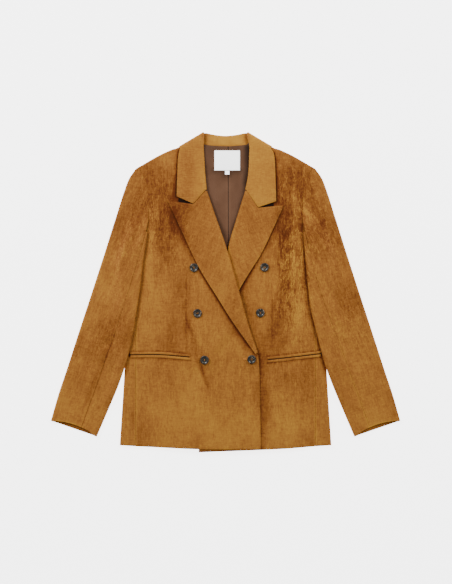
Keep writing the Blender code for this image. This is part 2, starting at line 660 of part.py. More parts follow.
# ---- sleeves -----------------------------------------------------------------------------------
class Section:
    """One section across a sleeve: where its folds turn and how thick it lies."""

    def __init__(self, row, thick=None):
        self.row = row
        self.width = float(np.linalg.norm(row[0:2] - row[2:4]))
        self.across = (row[2:4] - row[0:2]) / self.width
        self.back, self.fore, self.hind = row[4:7]
        self.thick = thick

    def at(self, share):
        return on_section(self.row, share)

    def levels(self, x, y):
        top, bottom = sleeve_top(x, y), sleeve_bottom(x, y)
        if self.thick:
            middle = (top + bottom) / 2
            top, bottom = middle + self.thick / 2, middle - self.thick / 2
        return top, bottom

    def fold(self, inner):
        """The fold at one end: its radius, its share, and its points from the top down."""
        r = SLEEVE_THICK / 2
        for _ in range(3):
            share = r / self.width if inner else 1 - r / self.width
            top, bottom = self.levels(*self.at(share))
            r = (top - bottom) / 2
        away = self.across if inner else -self.across
        x, y = self.at(share)
        points = [(x + away[0] * r * cos(angle), y + away[1] * r * cos(angle),
                   (top + bottom) / 2 - r * sin(angle)) for angle in half_turn(FOLD_TURNS)]
        return share, points

    def upper(self, share):
        x, y = self.at(share)
        return (x, y, self.levels(x, y)[0])

    def lower(self, share, below=1.0):
        x, y = self.at(share)
        return (x, y, self.levels(x, y)[1] * below)


def inner_turn(section):
    """The under sleeve's strip on top and its inner fold, and the share where the fold ends."""
    share, turned = section.fold(True)
    end = max(section.fore - SLEEVE_TRIM / section.width, share + SHORTEST_STRIP)
    strip = [section.upper(share + (end - share) * j / STRIP_COLUMNS)
             for j in range(STRIP_COLUMNS, 0, -1)]
    return share, strip + turned


def make_sleeve(side, mirror):
    """Both halves of a sleeve: the top one round the outer fold, the under one round the inner."""
    table = sections(side)
    cut = [Section(row, CROWN_THICK if k == 0 else None) for k, row in enumerate(table)]
    top_rows = []
    for k, section in enumerate(cut):
        part = SLEEVE_TRIM / section.width
        outer_share, outer_fold = section.fold(False)
        start = section.fore + part
        row = [section.upper(start + (outer_share - start) * j / TOP_COLUMNS)
               for j in range(TOP_COLUMNS)]
        row += outer_fold
        end = section.hind + part
        down = 1.0 if k in (0, *range(UNDERARM, len(cut))) else 0.0
        row += [section.lower(outer_share + (end - outer_share) * t, down) for t in (0.5, 1.0)]
        top_rows.append(row)
    bow_cuff(top_rows, cut[-1], range(TOP_COLUMNS))
    cloth(f"top_sleeve_{side}", [np.array(top_rows)], CLOTH, flip=side == "left")

    under_rows = []
    for section in cut[UNDERARM:]:
        inner_share, row = inner_turn(section)
        row += [section.lower(inner_share + (section.back - inner_share) * j / UNDER_COLUMNS)
                for j in range(1, UNDER_COLUMNS + 1)]
        end = section.hind - SLEEVE_TRIM / section.width
        row += [section.lower(section.back + (end - section.back) * j / UNDER_COLUMNS)
                for j in range(1, UNDER_COLUMNS + 1)]
        under_rows.append(row)
    bow_cuff(under_rows, cut[-1], range(STRIP_COLUMNS))

    _, gusset = inner_turn(cut[UNDERARM - 1])
    gusset += [(x, y, sleeve_bottom(x, y)) for x, y in points_of(ARMHOLE_LOW, mirror)]
    gusset.append(under_rows[0][len(gusset)])
    below_gusset = under_rows[0][:len(gusset)]

    flank = []
    for k in FLANK_ROWS:
        section = Section(section_at(table, k))
        part = SLEEVE_TRIM / section.width
        start, end = section.back + part, section.hind - part
        flank.append([section.lower(start + (end - start) * j / UNDER_COLUMNS, 0.0)
                      for j in range(UNDER_COLUMNS + 1)])
    flank.append(under_rows[0][-UNDER_COLUMNS - 1:])
    grids = [np.array(under_rows), np.array([gusset, below_gusset]), np.array(flank)]
    cloth(f"under_sleeve_{side}", grids, CLOTH, flip=side == "right")


def bow_cuff(rows, section, columns):
    """Draw the top of the cuff back up the arm, most in the middle."""
    for j in columns:
        end, before = np.array(rows[-1][j]), np.array(rows[-2][j])
        share = np.linalg.norm(end[:2] - section.row[2:4]) / section.width
        way = (before - end) / np.linalg.norm(before - end)
        rows[-1][j] = tuple(end + way * CUFF_BOW * sin(pi * min(max(share, 0), 1)) ** 0.6)


# ---- small pieces ------------------------------------------------------------------------------
def make_welts(side, mirror):
    """The two welts of a pocket, above and below its slit."""
    slit = curve(POCKETS[side], 8)
    for name, way in (("upper", 1.0), ("lower", -1.0)):
        rows = []
        for reach in (SLIT, WELT_HEIGHT):
            rows.append([(x, y + way * reach, front_top(side, x, y + way * reach) + SEAM + WELT)
                         for x, y in slit])
        flip = (side == "right") == (way > 0)
        cloth(f"pocket_{side}_welt_{name}", [np.array(rows)], WELT, flip=flip)


def make_tape(name, box):
    """A woven label on the lining, following its lie."""
    left, right, bottom, top = box
    rows = [[(x, y, lining_top(x, y) + SEAM + TAPE) for x in np.linspace(left, right, 5)]
            for y in np.linspace(bottom, top, 7)]
    cloth(name, [np.array(rows)], TAPE, "woven_label")


def make_button(name, surface, x, y):
    """A turned button, seated square on its front."""
    bm = bmesh.new()
    ring = [bm.verts.new((r, 0.0, z)) for r, z in BUTTON_PROFILE]
    for a, b in zip(ring, ring[1:]):
        bm.edges.new((a, b))
    mesh = bpy.data.meshes.new(name)
    bm.to_mesh(mesh)
    bm.free()
    button = place(name, mesh, "horn_button")
    turn = button.modifiers.new("turned", "SCREW")
    turn.steps = turn.render_steps = BUTTON_STEPS
    turn.use_merge_vertices = True
    turn.merge_threshold = MERGE
    rim = [(BUTTON_SEAT * cos(a), BUTTON_SEAT * sin(a)) for a in half_turn(SEAT_POINTS, 0.0, 2 * pi)]
    heights = [level_on(surface, x + dx, y + dy) for dx, dy in rim]
    across = 2 * np.mean([h * dx for h, (dx, dy) in zip(heights[1:], rim[1:])]) / BUTTON_SEAT ** 2
    along = 2 * np.mean([h * dy for h, (dx, dy) in zip(heights[1:], rim[1:])]) / BUTTON_SEAT ** 2
    level = max([level_on(surface, x, y)]
                + [h - across * dx - along * dy for h, (dx, dy) in zip(heights, rim)])
    button.location = (x, y, level + SEAM)
    button.rotation_euler = (along, -across, 0.0)


clear_scene()
blazer = make_collection()
make_back()
fronts = {}
for side, mirror in SIDES:
    make_side_panel(side, mirror)
    fronts[side] = make_front(side, mirror)
    make_lining(side, mirror)
    make_lapel(side, mirror)
    make_sleeve(side, mirror)
    make_welts(side, mirror)
make_collar()
make_tape("label", LABEL_BOX)
make_tape("size_tab", TAB_BOX)
for name, side, x, y in BUTTONS:
    make_button(name, fronts[side], x, y)
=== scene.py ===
"""A double breasted blazer in crushed pile cloth, laid flat on its back with the fronts buttoned.

Metres, +Z up, the floor at z = 0. "right" and "left" are the wearer's: the right front lies at -X.
"""
from math import acos, cos, hypot, pi, sin
import bmesh
import bpy
from mathutils import Euler, Matrix, Vector
from mathutils.bvhtree import BVHTree
from mathutils.kdtree import KDTree
import numpy as np


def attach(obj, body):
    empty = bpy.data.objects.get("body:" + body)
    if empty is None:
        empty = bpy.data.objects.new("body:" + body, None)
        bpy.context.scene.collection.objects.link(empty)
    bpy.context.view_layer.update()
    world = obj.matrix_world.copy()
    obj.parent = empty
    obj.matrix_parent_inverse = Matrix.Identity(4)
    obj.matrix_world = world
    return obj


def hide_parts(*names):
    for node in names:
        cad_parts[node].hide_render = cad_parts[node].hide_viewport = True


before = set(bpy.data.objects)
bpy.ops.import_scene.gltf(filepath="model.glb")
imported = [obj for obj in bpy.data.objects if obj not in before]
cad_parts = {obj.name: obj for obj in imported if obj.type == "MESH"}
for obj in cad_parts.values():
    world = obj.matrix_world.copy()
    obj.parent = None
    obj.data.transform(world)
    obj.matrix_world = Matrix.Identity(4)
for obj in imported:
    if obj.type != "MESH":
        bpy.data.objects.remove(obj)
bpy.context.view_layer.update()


# ---- Studio ---------------------------------------------------------------------------------
# A pale floor that glows evenly, as a light table does, a soft lamp over each shoulder, and the
# camera straight above the middle of the jacket, which looks down on the whole of it.
FLOOR_HALF = 4.0
FLOOR_LEVEL = -0.0004
LAMP_SIZE = 0.9
CAMERA_PLACE = (0.0010, 0.0002, 3.1590)


def feed(tree, made, inputs):
    """Sets a node's sockets, and links those whose value is another node's socket."""
    for key, value in inputs.items():
        if isinstance(value, bpy.types.NodeSocket):
            tree.links.new(value, made.inputs[key])
        else:
            made.inputs[key].default_value = value


def plain_material(name):
    """A material with its shader, ready to be given a finish."""
    material = bpy.data.materials.new(name)
    material.use_nodes = True
    tree = material.node_tree
    return material, tree, tree.nodes["Principled BSDF"]


def placed(name, data):
    """An object made of the data and put into the scene."""
    made = bpy.data.objects.new(name, data)
    bpy.context.scene.collection.objects.link(made)
    return made


def soft_lamp(name, place, power):
    """A square lamp, turned towards the middle of the jacket."""
    lamp = bpy.data.lights.new(name, "AREA")
    lamp.shape = "SQUARE"
    lamp.size = LAMP_SIZE
    lamp.energy = power
    holder = placed(name, lamp)
    holder.location = place
    holder.rotation_euler = (-Vector(place)).to_track_quat("-Z", "Y").to_euler()


floor_mesh = bpy.data.meshes.new("studio_floor")
floor_mesh.from_pydata([(FLOOR_HALF * x, FLOOR_HALF * y, FLOOR_LEVEL)
                        for x, y in ((-1, -1), (1, -1), (1, 1), (-1, 1))], [], [(0, 1, 2, 3)])
floor_material, floor_tree, floor_shader = plain_material("pale_floor")
feed(floor_tree, floor_shader, {
    "Base Color": (0.90, 0.90, 0.90, 1.0), "Roughness": 0.9,
    "Emission Color": (1.0, 1.0, 1.0, 1.0), "Emission Strength": 4.2})
floor_mesh.materials.append(floor_material)
floor = placed("studio_floor", floor_mesh)

soft_lamp("left_lamp", (-1.7, 1.5, 1.7), 62)
soft_lamp("right_lamp", (1.7, 1.5, 1.7), 44)
world = bpy.data.worlds.new("studio")
bpy.context.scene.world = world
world.use_nodes = True
feed(world.node_tree, world.node_tree.nodes["Background"],
     {"Color": (1.0, 1.0, 1.0, 1.0), "Strength": 0.42})

lens = bpy.data.cameras.new("camera")
lens.lens = 85
lens.sensor_width = 36
lens.clip_end = 50
camera = placed("camera", lens)
camera.location = CAMERA_PLACE
bpy.context.scene.camera = camera


# ---- Back -----------------------------------------------------------------------------------
# One piece of pile cloth without a middle seam. It is cut to the side seams, armholes, shoulders
# and neck, lies on the floor, and rides up at the nape over the collar that is turned under it.
CLOTH = 0.0020  # thickness of the pile cloth
SEAM = 0.0004  # gap left at a seam
RIM_REACH = 0.0022  # how far in from an edge the cloth is pressed down
TURNED_EDGE = 0.0007  # the rounding of an edge, at most
TURNED_SHARE = 0.38  # the share of the wall that it may take
CORNER_ANGLE = 1.05  # an edge that turns more than this is rounded
WELD = 0.00002  # points nearer than this are one point
CURVE_SAMPLES = 24
BASE_CRUSH = 0.22
COLLAR_LIFT = 0.0030  # how high the back rises at the nape
NAPE_Y = 0.350
NAPE_SPREAD = (0.115, 0.042)  # how far that reaches across and down
NAPE_FALL = (1.05, 2.60)  # where it starts to fall and ends, in spreads
FRONT_TOP = 0.0091  # the outer face of the fronts, above the floor
SIDE_SINK = 0.0015  # how much lower the body is at its sides
CHEST_SLOPE = (0.120, 0.175)
SIDES = (("right", -1.0), ("left", 1.0))
SIDE_ROWS = 14
SHOULDER_COLUMNS = 8
BACK_FINER = (4, 3)
UNDERARM = 6  # row of the sleeve's table at the underarm
FOLD_STEPS = (0.0, 0.40, 0.75, 0.96, 1.0)  # shares of the turn at the shoulder
BACK_SIDE_SEAM = (("hem", 0.1554, -0.3550), ("waist", 0.1500, -0.1500))
BACK_HEM_DROP = -0.3560
SHOULDER_SEAM = (
    ("middle", 0.1550, 0.3112),
    ("yoke",   0.1250, 0.3252),
    ("collar", 0.1050, 0.3322),
    ("neck",   0.0626, 0.3575),
)
BACK_STATIONS = (
    ("nape_side", (0.0450, 0.3640), (0.0491, 0.3374), (0.0956, 0.3234)),
    ("nape",      (0.0266, 0.3604), (0.0289, 0.3349), (0.0519, 0.3130)),
)
BACK_MIDDLE = ((0.0, 0.3577), (0.0, 0.3344), (0.0, 0.3096))
SLEEVE_SECTIONS = (
    # name, outer (x, y), inner right (x), inner left (x), inner (y), back armhole, forearm, hindarm
    ("crown",     0.2058, 0.2815, 0.1985, 0.1985, 0.2862, 0.00, 0.00, 0.00),
    ("cap",       0.2199, 0.2613, 0.1824, 0.1832, 0.2509, 0.06, 0.00, 0.06),
    ("head",      0.2312, 0.2330, 0.1763, 0.1770, 0.2187, 0.10, 0.00, 0.10),
    ("pitch",     0.2398, 0.2072, 0.1763, 0.1763, 0.1865, 0.15, 0.00, 0.15),
    ("pitch_low", 0.2472, 0.1831, 0.1768, 0.1760, 0.1612, 0.20, 0.00, 0.45),
    ("fold_top",  0.2542, 0.1612, 0.1774, 0.1770, 0.1366, 0.32, 0.06, 0.62),
    ("underarm",  0.2782, 0.0853, 0.1878, 0.1830, 0.0692, 0.459, 0.14, 0.72),
    ("biceps",    0.2938, 0.0370, 0.1945, 0.1880, 0.0117, 0.42, 0.22, 0.75),
    ("arm",       0.3102, -0.0136, 0.2027, 0.1955, -0.0435, 0.40, 0.29, 0.77),
    ("elbow",     0.3302, -0.0745, 0.2131, 0.2110, -0.1056, 0.38, 0.34, 0.78),
    ("forearm",   0.3478, -0.1286, 0.2267, 0.2255, -0.1608, 0.38, 0.38, 0.78),
    ("low_arm",   0.3634, -0.1769, 0.2439, 0.2439, -0.2114, 0.38, 0.38, 0.78),
    ("wrist",     0.3826, -0.2344, 0.2676, 0.2676, -0.2677, 0.38, 0.37, 0.78),
    ("cuff",      0.3998, -0.2942, 0.2945, 0.2945, -0.3305, 0.38, 0.36, 0.78),
)
NAP_AND_SHADE_PATCHES = (
    # name, x, y, half width, half height, turn, how much lighter the pile lies; the rows named
    # _shade and _highlight are painted shade and painted highlight of creases, edges and turns
    ("right_shoulder",   -0.150, 0.255, 0.060, 0.045, 0.4, -0.14),
    ("right_chest",      -0.130, 0.140, 0.028, 0.090, 0.1, -0.30),
    ("right_armhole",    -0.180, 0.215, 0.020, 0.050, 0.0, -0.10),
    ("right_side",       -0.165, -0.020, 0.035, 0.110, 0.0, 0.13),
    ("right_under_lapel", -0.110, 0.150, 0.012, 0.055, -0.44, -0.20),
    ("right_bust",       -0.080, 0.030, 0.030, 0.080, 0.1, -0.07),
    ("right_waist",      -0.030, -0.100, 0.050, 0.050, 0.0, 0.08),
    ("right_break_shade", 0.031, -0.104, 0.009, 0.040, -0.62, -0.22),
    ("right_dart",       -0.086, -0.075, 0.012, 0.060, -0.1, -0.05),
    ("right_button_pull", -0.056, -0.165, 0.012, 0.060, -0.33, -0.12),
    ("crease_above",     -0.0818, -0.0814, 0.004, 0.026, -0.33, -0.22),
    ("crease_below",     -0.0501, -0.1880, 0.004, 0.026, -0.33, -0.26),
    ("crease_ridge",     -0.0590, -0.1890, 0.004, 0.024, -0.30, 0.14),
    ("right_hem",        0.000, -0.290, 0.110, 0.075, 0.0, 0.16),
    ("right_hem_corner", -0.195, -0.300, 0.025, 0.050, 0.0, -0.07),
    ("left_shoulder",    0.150, 0.262, 0.060, 0.040, -0.4, -0.08),
    ("left_chest",       0.134, 0.140, 0.022, 0.085, 0.0, -0.29),
    ("left_bust",        0.118, 0.060, 0.012, 0.070, 0.0, 0.16),
    ("left_waist",       0.112, -0.070, 0.018, 0.060, 0.1, -0.22),
    ("left_side",        0.172, -0.060, 0.020, 0.090, 0.0, 0.12),
    ("left_under_edge",  0.090, -0.230, 0.016, 0.080, 0.0, -0.22),
    ("left_below_pocket", 0.165, -0.200, 0.040, 0.040, 0.0, -0.08),
    ("left_hem",         0.150, -0.305, 0.060, 0.030, 0.0, 0.08),
    ("right_arm_top",    -0.225, 0.130, 0.030, 0.070, 0.3, -0.07),
    ("right_arm_light",  -0.250, 0.060, 0.030, 0.060, 0.3, 0.06),
    ("right_elbow",      -0.275, -0.110, 0.040, 0.050, 0.3, -0.10),
    ("right_sleeve_seam", -0.300, -0.205, 0.006, 0.090, 0.38, -0.15),
    ("right_cuff",       -0.345, -0.270, 0.050, 0.040, 0.3, 0.10),
    ("left_arm_top",     0.225, 0.160, 0.025, 0.070, -0.3, -0.14),
    ("left_arm_middle",  0.290, -0.020, 0.030, 0.050, -0.3, -0.14),
    ("left_forearm",     0.275, -0.110, 0.025, 0.060, -0.3, 0.04),
    ("left_low_arm",     0.320, -0.220, 0.040, 0.050, -0.3, -0.06),
    ("left_cuff",        0.350, -0.285, 0.040, 0.030, -0.3, 0.10),
    ("right_collar",     -0.085, 0.275, 0.026, 0.075, 0.0, -0.26),
    ("nape_stand",       0.000, 0.352, 0.040, 0.016, 0.0, 0.26),
    ("nape_right_end",   -0.046, 0.356, 0.009, 0.018, 0.0, -0.30),
    ("nape_left_end",    0.048, 0.356, 0.006, 0.018, 0.0, -0.36),
    ("nape_crease_one",  -0.018, 0.350, 0.003, 0.014, 0.2, -0.16),
    ("nape_crease_two",  -0.006, 0.350, 0.003, 0.014, 0.0, 0.12),
    ("nape_crease_three", 0.010, 0.350, 0.003, 0.014, -0.2, -0.12),
    ("nape_crease_four", 0.026, 0.352, 0.004, 0.014, -0.2, 0.12),
)
CRUSH_PATCHES = (
    # name, x, y, half width, half height, turn, how much more the pile is crushed
    ("left_bust",        0.155, 0.060, 0.038, 0.150, 0.0, 1.25),
    ("left_shoulder",    0.150, 0.250, 0.055, 0.045, 0.0, 0.28),
    ("left_skirt",       0.150, -0.250, 0.090, 0.100, 0.0, 0.06),
    ("right_chest",      -0.155, 0.150, 0.028, 0.090, 0.0, 0.42),
    ("right_shoulder",   -0.145, 0.255, 0.060, 0.040, 0.0, 0.14),
    ("right_bust",       -0.105, 0.120, 0.030, 0.080, 0.0, 0.35),
    ("right_pull",       -0.066, -0.110, 0.020, 0.080, -0.3, 0.25),
    ("right_arm_top",    -0.220, 0.130, 0.036, 0.110, 0.3, 0.30),
    ("right_elbow",      -0.280, -0.110, 0.050, 0.060, 0.3, 0.25),
    ("left_arm_top",     0.215, 0.150, 0.034, 0.110, -0.3, 0.48),
    ("left_elbow",       0.290, -0.060, 0.045, 0.070, -0.3, 0.30),
)


def ramp(value, start, end):
    """Smooth step: 0 before start, 1 past end."""
    t = np.clip((value - start) / (end - start), 0.0, 1.0)
    return t * t * (3 - 2 * t)


def points_of(rows, mirror=1.0):
    """The points of a named line, for either side of the body."""
    return [(mirror * row[1], row[2]) for row in rows]


def curve(points, segments):
    """A smooth curve through the points, cut into equal lengths."""
    p = np.array(points, float)
    if len(p) > 2:
        ends = np.vstack((2 * p[0] - p[1], p, 2 * p[-1] - p[-2]))
        t = np.linspace(0, 1, CURVE_SAMPLES, endpoint=False)[:, None]
        spans = []
        for a, b, c, d in zip(ends, ends[1:], ends[2:], ends[3:]):
            spans.append(0.5 * (2 * b + (c - a) * t + (2 * a - 5 * b + 4 * c - d) * t ** 2
                                + (3 * b - a - 3 * c + d) * t ** 3))
        p = np.vstack(spans + [p[-1:]])
    run = np.concatenate(([0.0], np.cumsum(np.linalg.norm(np.diff(p, axis=0), axis=1))))
    at = np.linspace(0, run[-1], segments + 1)
    return np.column_stack([np.interp(at, run, p[:, k]) for k in range(p.shape[1])])


def joined(*stretches):
    """One line from several, each of which starts where the last one ends."""
    return np.vstack([stretches[0]] + [s[1:] for s in stretches[1:]])


def across_line(line, side):
    """Unit vectors square to a line of points, to its left for side > 0."""
    run = np.gradient(np.array(line, float), axis=0)
    run /= np.linalg.norm(run, axis=1)[:, None]
    return side * np.column_stack((-run[:, 1], run[:, 0]))


def patch(low, high, start, end):
    """A sheet spanned between four edge lines."""
    u = np.linspace(0, 1, len(low))[None, :, None]
    v = np.linspace(0, 1, len(start))[:, None, None]
    corners = ((1 - u) * (1 - v) * low[0] + u * (1 - v) * low[-1]
               + (1 - u) * v * high[0] + u * v * high[-1])
    return ((1 - v) * low[None] + v * high[None] + (1 - u) * start[:, None]
            + u * end[:, None] - corners)


def raised(plan, height):
    """A flat sheet lifted to the height at each of its points."""
    z = np.array([[height(x, y) for x, y in row] for row in plan])
    return np.dstack((plan, z))


EASE = 0.0003  # how far a curve may swing past its own rows


def between(grid, steps, breaks=()):
    """More rows in a grid, eased through its own rows, with a corner left at each break."""
    stops = sorted({0, len(grid) - 1, *breaks})
    out = []
    t = (np.arange(steps) / steps)[:, None, None]
    for start, stop in zip(stops, stops[1:]):
        g = grid[start:stop + 1]
        reach = np.maximum(np.linalg.norm(np.diff(g, axis=0), axis=2, keepdims=True), 1e-7)
        slope = np.diff(g, axis=0) / reach
        tangent = np.concatenate((slope[:1], slope[-1:])) if len(g) == 2 else np.concatenate(
            (slope[:1], (reach[:-1] * slope[1:] + reach[1:] * slope[:-1])
             / (reach[:-1] + reach[1:]), slope[-1:]))
        for k in range(len(g) - 1):
            eased = ((2 * t ** 3 - 3 * t ** 2 + 1) * g[k] + (t ** 3 - 2 * t ** 2 + t)
                     * reach[k] * tangent[k] + (3 * t ** 2 - 2 * t ** 3) * g[k + 1]
                     + (t ** 3 - t ** 2) * reach[k] * tangent[k + 1])
            out.append(np.clip(eased, np.minimum(g[k], g[k + 1]) - EASE,
                               np.maximum(g[k], g[k + 1]) + EASE))
    return np.concatenate(out + [grid[-1:]])


def finer(grid, rows, columns, row_breaks=(), column_breaks=()):
    """A grid with each cell cut into so many rows and columns."""
    grid = between(np.array(grid, float), rows, row_breaks)
    return between(grid.transpose(1, 0, 2), columns, column_breaks).transpose(1, 0, 2)


def patches_at(rows, places):
    """What a table of soft round patches adds up to at each place."""
    total = np.zeros(len(places))
    for _, cx, cy, half_wide, half_high, turn, strength in rows:
        dx, dy = places[:, 0] - cx, places[:, 1] - cy
        along, up = dx * cos(turn) - dy * sin(turn), dx * sin(turn) + dy * cos(turn)
        total += strength * np.exp(-(along / half_wide) ** 2 - (up / half_high) ** 2)
    return total


def paint(mesh, name, values):
    """A number at each point of a mesh, for its material to read."""
    layer = mesh.attributes.get(name) or mesh.attributes.new(name, "FLOAT", "POINT")
    layer.data.foreach_set("value", np.asarray(values, np.float32))


def mesh_of(bm, name):
    """The finished mesh of a bmesh, which is freed."""
    mesh = bpy.data.meshes.new(name)
    bm.to_mesh(mesh)
    bm.free()
    return mesh


def evaluated_mesh(made, name):
    """A piece's modifiers turned into its mesh."""
    bpy.context.view_layer.update()
    mesh = bpy.data.meshes.new_from_object(
        made.evaluated_get(bpy.context.evaluated_depsgraph_get()))
    old = made.data
    made.modifiers.clear()
    made.data = mesh
    bpy.data.meshes.remove(old)
    mesh.name = name
    return mesh


def sew(name, grids, wall, material, flip=False, relief=None, nap=0.0, rim=0.0004,
        crush=BASE_CRUSH):
    """A piece of cloth from the grids of its outer face: eased, pressed at its edges, walled."""
    bm = bmesh.new()
    for grid in grids:
        verts = [[bm.verts.new(point) for point in row] for row in grid]
        for low, high in zip(verts, verts[1:]):
            for a, b, c, d in zip(low, low[1:], high[1:], high):
                bm.faces.new((a, d, c, b) if flip else (a, b, c, d))
    bmesh.ops.remove_doubles(bm, verts=bm.verts, dist=WELD)
    edges = [v.co.copy() for v in bm.verts if v.is_boundary]
    tree = KDTree(len(edges))
    for k, place in enumerate(edges):
        tree.insert(place, k)
    tree.balance()
    gap = np.array([tree.find(v.co)[2] for v in bm.verts])
    places = np.array([v.co[:] for v in bm.verts])
    lift = -rim * np.exp(-gap / RIM_REACH)
    if relief is not None:
        lift = lift + relief(places)
    for v, dz in zip(bm.verts, lift):
        v.co.z = max(v.co.z + dz, 0.0)
    mesh = mesh_of(bm, name)
    mesh.shade_smooth()
    mesh.materials.append(material)
    made = placed(name, mesh)
    shell = made.modifiers.new("wall", "SOLIDIFY")
    shell.thickness = wall
    shell.offset = -1.0
    turned = made.modifiers.new("turned_edge", "BEVEL")
    turned.width = min(TURNED_EDGE, wall * TURNED_SHARE)
    turned.segments = 2
    turned.limit_method = "ANGLE"
    turned.angle_limit = CORNER_ANGLE
    mesh = evaluated_mesh(made, name)
    places = np.array([v.co[:] for v in mesh.vertices])
    # The tone of the pile by place, with painted shade and painted highlight at the creases, edges
    # and turns named in the table.
    paint(mesh, "nap", nap + patches_at(NAP_AND_SHADE_PATCHES, places))
    paint(mesh, "crush", crush + patches_at(CRUSH_PATCHES, places) * crush / BASE_CRUSH)
    return made


def declare(piece):
    """Hangs a cloth piece under the root body and hides the model's part that it stands for."""
    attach(piece, "root")
    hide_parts(piece.name.replace("_cloth", ""))


def back_bottom(x, y):
    """The back lies on the floor, and rises at the nape over the collar under it."""
    reach = np.hypot(x / NAPE_SPREAD[0], (y - NAPE_Y) / NAPE_SPREAD[1])
    return COLLAR_LIFT * (1 - ramp(reach, *NAPE_FALL))


def sections(side):
    """The sleeve's sections on one side: outer and inner points, and the seams' shares."""
    mirror = dict(SIDES)[side]
    rows = []
    for _, outer_x, outer_y, right_x, left_x, inner_y, back, fore, hind in SLEEVE_SECTIONS:
        inner_x = right_x if side == "right" else left_x
        rows.append((mirror * outer_x, outer_y, mirror * inner_x, inner_y, back, fore, hind))
    return np.array(rows)


def on_section(row, share):
    """A point on a sleeve's section: 0 at its inner end, 1 at its outer end."""
    return row[2:4] + (row[0:2] - row[2:4]) * share


def shoulder_line(side, segments):
    """The shoulder seam, from the sleeve's crown to the neck."""
    mirror = dict(SIDES)[side]
    return curve([tuple(sections(side)[0][2:4])] + points_of(SHOULDER_SEAM, mirror), segments)


def back_armhole(side):
    """The back's armhole, from the underarm up to the shoulder."""
    return np.array([on_section(row, row[4]) for row in sections(side)[UNDERARM::-1]])


def fold_rows(edge, inward, top, bottom, weight, upper):
    """Rows that turn a face round its half of the shoulder fold, to the middle of the fold."""
    rows = []
    for step in FOLD_STEPS:
        row = []
        for point, into, high, low, w in zip(edge, inward, top, bottom, weight):
            r = (high - low) / 2
            angle = step * acos(SEAM / 2 / r)
            x, y = point + into * r * (1 - sin(angle))
            turned = (high + low) / 2 + r * cos(angle) * (1 if upper else -1)
            flat = high if upper else low
            row.append((x, y, flat + w * (turned - flat)))
        rows.append(row)
    return np.array(rows)


def node(tree, kind, inputs=None, **settings):
    """One shader or geometry node with its settings, and its sockets set or linked."""
    made = tree.nodes.new(kind)
    for key, value in settings.items():
        setattr(made, key, value)
    feed(tree, made, inputs or {})
    return made


def place_in(tree):
    """Where on a piece a point lies, read in a material's tree."""
    return node(tree, "ShaderNodeTexCoord").outputs["Object"]


def painted(tree, name):
    """A number that is painted on a mesh, read in a material's tree."""
    return node(tree, "ShaderNodeAttribute", attribute_name=name,
                attribute_type="GEOMETRY").outputs["Fac"]


